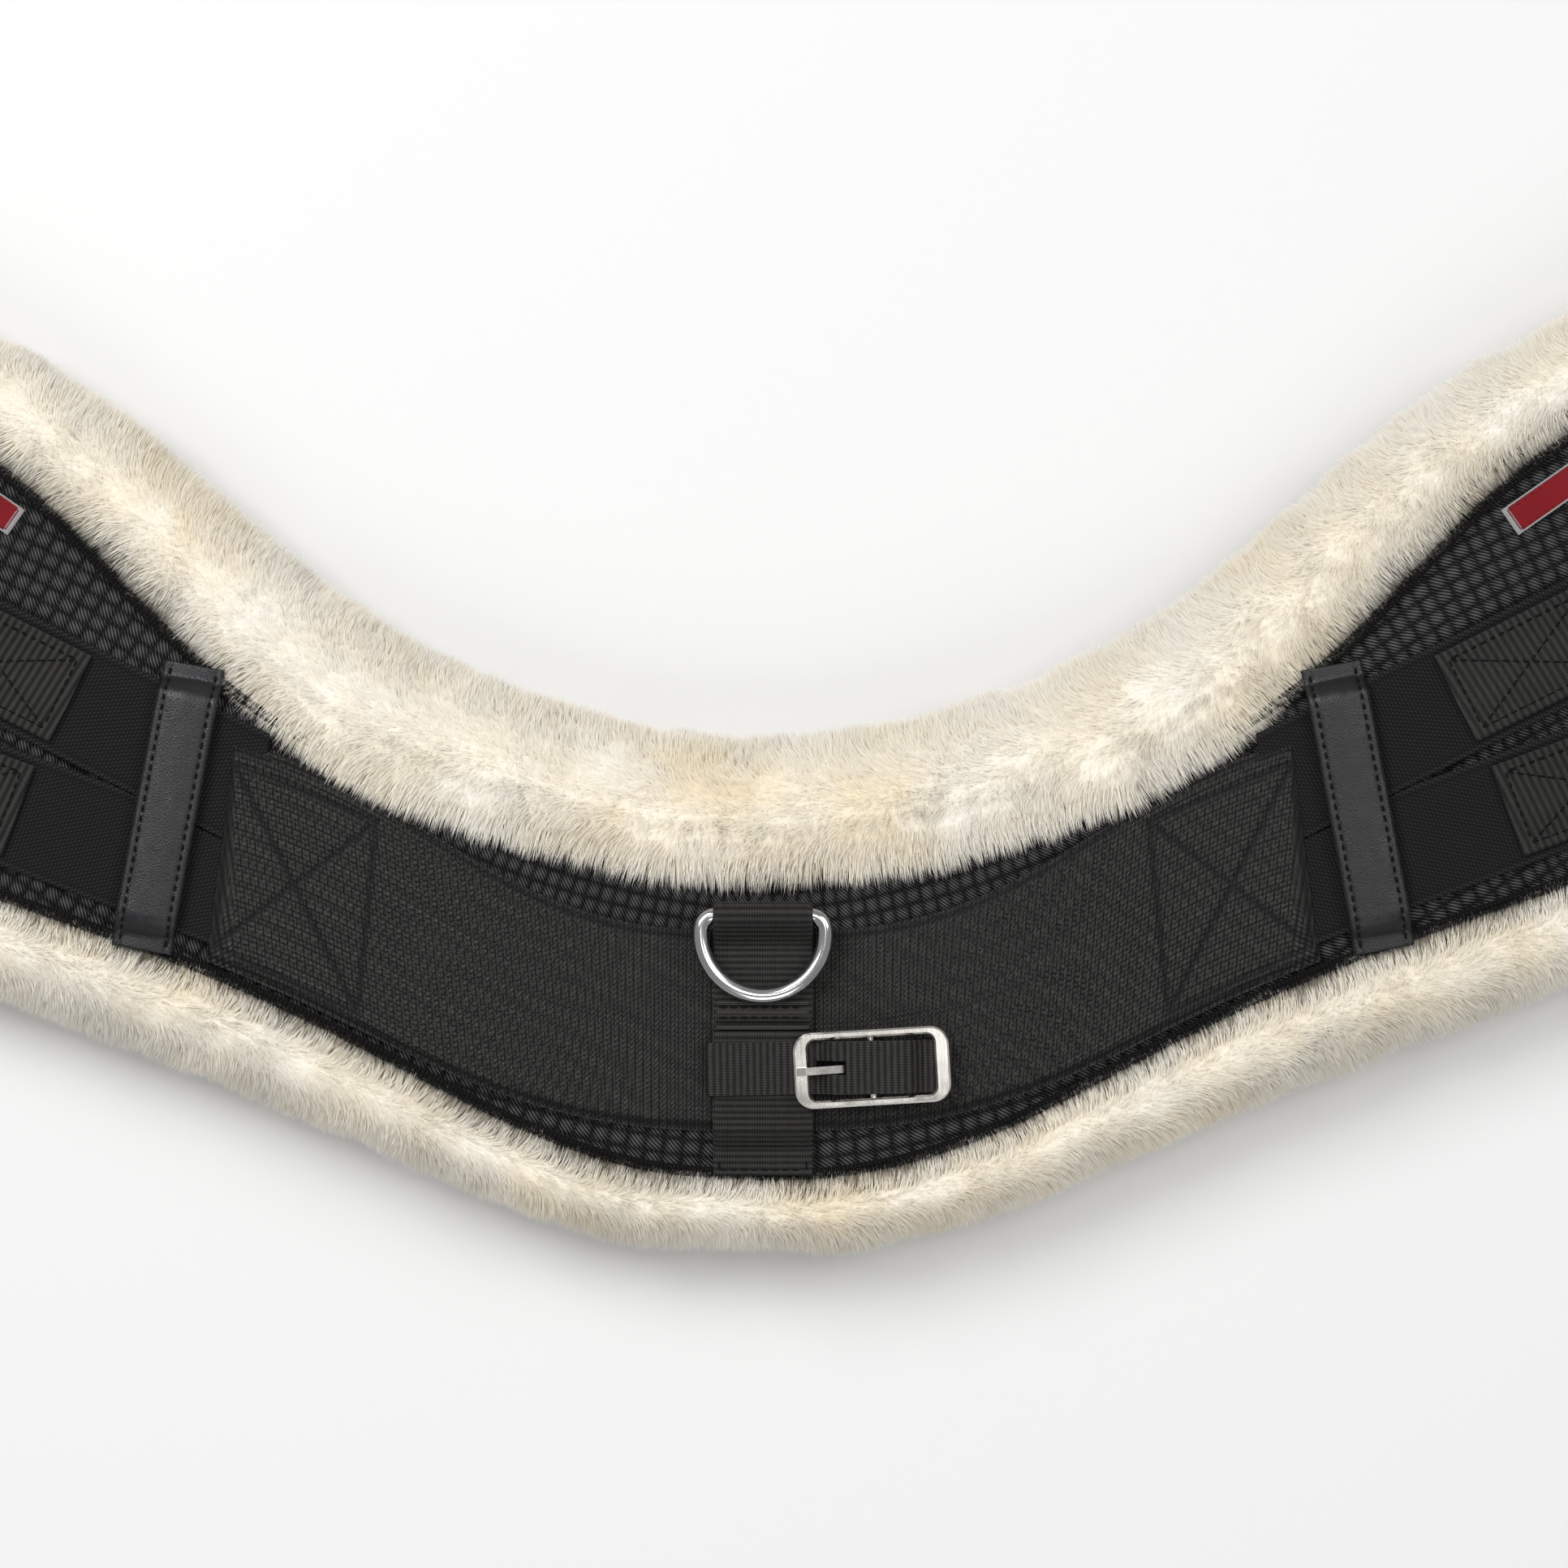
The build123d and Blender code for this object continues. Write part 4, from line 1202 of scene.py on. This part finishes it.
def centre_strip():
    """Webbing from the front binding up to a fold round the D-ring's bar, sewn down below it."""
    loop = 3.0 * MM
    top = STRIP_LOW + STRIP_THICK + 0.1 * MM
    corner = D_BAR[2] + loop * math.tan(math.radians(67.5)) + 0.05 * MM
    reach = D_BAR[1] + loop
    low = FACE + 0.85 * MM + STRIP_THICK / 2
    corners = [
        (0.001, top), (reach - (corner - top), top), (reach, corner), (reach, D_BAR[2] - loop),
        (0.0245, D_BAR[2] - loop), (0.0215, STRIP_LOW), (-0.0002, STRIP_LOW), (-0.0022, STRIP_BRIDGE),
        (-0.0276, STRIP_BRIDGE), (-0.0322, low), (-0.0395, low),
    ]
    path = filleted(corners, [loop * 1.5, loop, loop] + [1.2 * MM] * 6, 0.34 * MM)
    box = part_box("centre_strip")
    points, faces, uv, relief = band(
        path, box[0][0], box[1][0], STRIP_THICK, rib=(1.62, 0.17), across=22, seed=12
    )
    piece = mesh_piece(
        "centre_webbing", points[:, [1, 0, 2]], flipped(faces, -1),
        "pad", "strap_webbing", WEBBING, uv=uv, relief=relief,
    )
    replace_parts(piece, "centre_strip")
    edge = box[1][0] - 1.6 * MM
    over = top + STRIP_THICK / 2
    foot = low + STRIP_THICK / 2
    seam, side_seam = -0.0380, -0.0335
    lines = [[(-edge, y, over), (edge, y, over)] for y in (0.0020, 0.0046)]
    lines += [[(-edge, seam, foot), (edge, seam, foot)]]
    lines += [[(x, seam, foot), (x, side_seam, foot)] for x in (-edge, edge)]
    stitches("centre_webbing_sewing", lines, "pad", radius=0.24)
    ridge = []
    for y, high in ((-0.0006, 0.35), (0.0034, 0.62), (0.0058, 0.25)):
        x = np.linspace(-edge - 0.9 * MM, edge + 0.9 * MM, 60)
        z = over + high * 0.2 * MM + 0.06 * MM * np.sin(x / MM * 4.2)
        ridge.append(np.stack([x, np.full(60, y), z], axis=1))
    points, faces = tubes_on(ridge, 0.62 * MM, 8)
    # A relief of 0.95 gives the sewn ridges the light crown tone all along: a painted highlight.
    relief = np.full(len(points), 0.95)
    uv = points[:, [1, 0]] / MM
    mesh_piece("sewn_fold", points, faces, "pad", "strap_webbing", WEBBING, uv=uv, relief=relief)


# ------------------------------------------------------------------ small strap
SMALL_THICK = 1.1 * MM
SMALL_WIDTH = 13.8 * MM
SMALL_RISE = 0.9 * MM  # of the strap over its tongue
SMALL_HINGE = JOINTS["small_tongue_swing"]["pos_m"]


def small_strap():
    """The narrow webbing: round the centre strip, over its buckle's middle bar and back to it."""
    back = PANEL_TOP + 0.15 * MM + SMALL_THICK / 2
    front = STRIP_BRIDGE + STRIP_THICK / 2 + 0.1 * MM + SMALL_THICK / 2
    loop = SMALL_HINGE[2] - back
    over = SMALL_HINGE[2] + loop + SMALL_THICK + SMALL_RISE
    fold = (front - back) / 2
    crest, foot = 9.5 * MM, 13.5 * MM
    bar, left = SMALL_HINGE[0], -15.2 * MM + SMALL_THICK / 2
    corners = [
        (bar + 0.0208, front), (bar + foot, front), (bar + crest, over), (bar - crest, over),
        (bar - foot, front), (left, front), (left, back), (bar + loop, back),
        (bar + loop, SMALL_HINGE[2] + loop), (bar - 0.0016, SMALL_HINGE[2] + loop),
    ]
    radii = [2.0 * MM, 2.5 * MM, 2.5 * MM, 2.0 * MM] + [fold * 0.98] * 2 + [loop * 0.98] * 2
    path = filleted(corners, radii, 0.3 * MM)

    def slot(p):
        hole = (p[:, 0] > bar - 14.6 * MM) & (p[:, 0] < bar - 7.0 * MM)
        eye = (np.abs(p[:, 0] - bar) < 3.8 * MM) & (p[:, 1] < SMALL_HINGE[2] + loop + 0.65 * MM)
        return hole | eye

    points, faces, uv, relief = strap_parts(
        path, SMALL_WIDTH, SMALL_THICK, slot, 1.8 * MM, rib=(1.75, 0.17), across=16, seed=15
    )
    piece = mesh_piece(
        "small_webbing", set_down(points, (0, -11.4 * MM), 1.0), faces,
        "small_strap", "strap_webbing", WEBBING, uv=uv, relief=relief,
    )
    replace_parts(piece, "small_strap")


# ------------------------------------------------------------------ keepers and labels
KEEPER_WIDTH = 16 * MM
KEEPER_THICK = 1.6 * MM
KEEPER_SEAM = KEEPER_WIDTH / 2 - 1.9 * MM  # from its middle line
KEEPER_ENDS = np.array([(162.6, 19.5), (148.6, 94.0)]) * MM  # on the right, front and rear


def keeper_press(run, lateral):
    """How far a keeper's face is pulled in: its seams, its crown and its creases."""
    groove = np.exp(-(((np.abs(lateral) - KEEPER_SEAM) / (0.55 * MM)) ** 2)) * 0.30 * MM
    crown = (1 - np.cos(np.clip(lateral / (KEEPER_WIDTH / 2), -1, 1) * 1.3)) * 0.75 * MM
    where = np.stack(np.broadcast_arrays(run, lateral * 3), axis=2)
    creases = wobble(where.reshape(-1, 2), 0.02, 8).reshape(where.shape[:2])
    return groove + crown + creases * 0.07 * MM


def keeper(side_name, side):
    """A smooth leather strap, arched over the elastics and sewn down at both edges of the shell."""
    front, rear = KEEPER_ENDS
    length = float(np.linalg.norm(rear - front))
    heading = math.degrees(math.atan2(*(rear - front)[::-1]))
    foot = LIP_TOP + 0.1 * MM + KEEPER_THICK / 2
    rise, toe = 3.8 * MM, 4 * MM
    corners = [
        (0, foot), (toe, foot), (toe + rise, foot + rise),
        (length - toe - rise, foot + rise), (length - toe, foot), (length, foot),
    ]
    path = filleted(corners, [2 * MM, 4 * MM, 4 * MM, 2 * MM], 0.6 * MM)
    half = KEEPER_WIDTH / 2
    points, faces, uv, _ = band(
        path, -half, half, KEEPER_THICK, rib=(9.0, 0.0), across=44, press=keeper_press
    )
    piece = mesh_piece(
        f"{side_name}_keeper", set_down(points, front, heading, side), flipped(faces, side),
        "pad", "leather", LEATHER, uv=uv,
    )
    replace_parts(piece, f"{side_name}_leather_keeper")
    lines = []
    tops = path + np.array([0, KEEPER_THICK / 2])
    for lateral in (-KEEPER_SEAM, KEEPER_SEAM):
        line = np.c_[tops[:, 0], np.full(len(tops), lateral), tops[:, 1] - 0.42 * MM]
        lines.append(set_down(line[3:-3], front, heading, side))
    name = f"{side_name}_keeper_sewing"
    stitches(name, lines, "pad", slot="leather", pitch=2.6, length=1.9, radius=0.24, sink=-0.12)


def label(side_name, side):
    """A short red tape with a pale woven edge, left blank."""
    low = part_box(f"{side_name}_edge_label")[0][2]
    origin, heading = np.array((210.2, 141.6)) * MM, 35.0
    path = np.stack([np.linspace(-18 * MM, 18 * MM, 60), np.zeros(60)], axis=1)
    path[:, 1] = low + 0.35 * MM + 0.16 * MM * np.cos(path[:, 0] / (5.5 * MM))
    parts = (
        ("tape", -3.6, 3.6, path[2:], LABEL), ("hem_a", -4.0, -3.5, path, LABEL_EDGE),
        ("hem_b", 3.5, 4.0, path, LABEL_EDGE), ("hem_c", -3.7, 3.7, path[:4], LABEL_EDGE),
    )
    for part, a, b, line, material in parts:
        points, faces, uv, _ = band(line, a * MM, b * MM, 0.5 * MM, rib=(0.9, 0.02), across=14)
        piece = mesh_piece(
            f"{side_name}_label_{part}", set_down(points, origin, heading, side), flipped(faces, side),
            "pad", "label", material, uv=uv,
        )
        if part == "tape":
            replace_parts(piece, f"{side_name}_edge_label")
    z = low + 0.72 * MM
    lines = [np.array([(-16.5 * MM, v * MM, z), (16.5 * MM, v * MM, z)]) for v in (-2.9, 2.9)]
    lines = [set_down(line, origin, heading, side) for line in lines]
    name = f"{side_name}_label_sewing"
    stitches(name, lines, "pad", slot="label", pitch=2.4, length=1.6, radius=0.14, material=LABEL)


# ------------------------------------------------------------------ underside
BELOW = 1.9 * MM  # the flat wool's height
def underside():
    """The flat clipped wool below, and the strands that lie over it."""
    grid = curved_grid(3.0 * MM, 32)
    flat, quads = grid.reshape(-1, 2), grid_faces(*grid.shape[:2])

    def kept(loop):
        """The part of the grid inside a loop, facing down."""
        points, (faces,) = compact(flat, [quads[inside(flat, loop)[quads].all(axis=1)][:, ::-1]])
        return points, faces

    lawn, rooted = kept(backing + backing_out * (width * 0.8)[:, None])
    sheet, faces = kept(backing - backing_out * 0.5 * MM)
    z = BELOW + 0.5 * MM * wobble(sheet, 0.02, 71) + 0.2 * MM * wobble(sheet, 0.008, 72)
    mesh_piece("underside_wool", np.c_[sheet, z], [faces], "pad", "lambskin", WOOL_DEPTH)
    count = 130000
    rng = np.random.default_rng(81)
    ground = np.c_[lawn, np.full(len(lawn), BELOW)]
    triangles = split_quads(rooted)
    which, shares = triangle_samples(ground, triangles, count, rng)
    root = mixed(shares, ground[triangles[which]])
    turn = wobble(root[:, :2], 0.07, 73) * 1.5 + wobble(root[:, :2], 0.022, 74) * 0.8
    turn += rng.normal(size=count) * 0.35
    way = np.stack([np.cos(turn), np.sin(turn), np.full(count, -0.10)], axis=1)
    tip = root + way * (rng.uniform(5.0, 9.0, count) * MM)[:, None]
    tip = clumped(root, tip, count // 26, rng.uniform(0.1, 0.7, count), rng)
    tip[:, 2] = rng.uniform(0.35, 1.2, count) * MM
    root[:, 2] += 0.6 * MM
    ways = tip - root
    lengths = np.linalg.norm(ways, axis=1)
    widths = rng.uniform(0.35, 0.75, count) * MM
    down = np.tile([0.0, 0.0, -1.0], (count, 1))
    strands("wool_below", root, unit(ways), np.zeros_like(ways), lengths, widths, down, 83, "lambskin", WOOL)


centre_strip()
small_strap()
for side_name, side in SIDES.items():
    keeper(side_name, side)
    label(side_name, side)
underside()

# ------------------------------------------------------------------ stage
VIEW_WIDTH = 410.5 * MM  # of the outer face, that the camera takes in
VIEW_CENTRE = (5.5 * MM, 62.9 * MM)
CAMERA_HEIGHT = 1.6
SENSOR = 36.0
FLOOR_REACH = 4
SOFTBOXES = (  # place, size and power
    ((-0.7, 0.75, 1.3), 0.8, 15),
    ((0.9, 0.5, 1.2), 0.7, 5),
    ((0.1, -1.0, 1.1), 0.8, 4),
    ((0.25, 0.35, 2.3), 0.7, 6),
)


def stage():
    """The floor, the lights and the camera."""
    mesh = bpy.data.meshes.new("floor")
    corners = [(x * FLOOR_REACH, y * FLOOR_REACH, 0) for x, y in ((-1, -1), (1, -1), (1, 1), (-1, 1))]
    mesh.from_pydata(corners, [], [(0, 1, 2, 3)])
    material, _, shader = new_material("floor_paint")
    set_inputs(shader, Base_Color=(0.86, 0.86, 0.86, 1), Roughness=0.9)
    mesh.materials.append(material)
    link_new("floor", mesh)
    world = bpy.data.worlds.new("world")
    bpy.context.scene.world = world
    world.use_nodes = True
    set_inputs(world.node_tree.nodes["Background"], Color=(1, 1, 1, 1), Strength=0.30)
    for i, (place, size, power) in enumerate(SOFTBOXES):
        light = bpy.data.lights.new(f"softbox_{i}", "AREA")
        light.size, light.energy = size, power
        lamp = link_new(f"softbox_{i}", light)
        lamp.location = place
        lamp.rotation_euler = (Vector((0, 0.05, 0)) - Vector(place)).to_track_quat("-Z", "Y").to_euler()
    camera = bpy.data.cameras.new("camera")
    camera.sensor_width, camera.lens = SENSOR, SENSOR * CAMERA_HEIGHT / VIEW_WIDTH
    camera.clip_end = 20
    eye = link_new("camera", camera)
    eye.location = (*VIEW_CENTRE, FACE + CAMERA_HEIGHT)
    bpy.context.scene.camera = eye
    bpy.context.scene.view_settings.view_transform = "Standard"


stage()
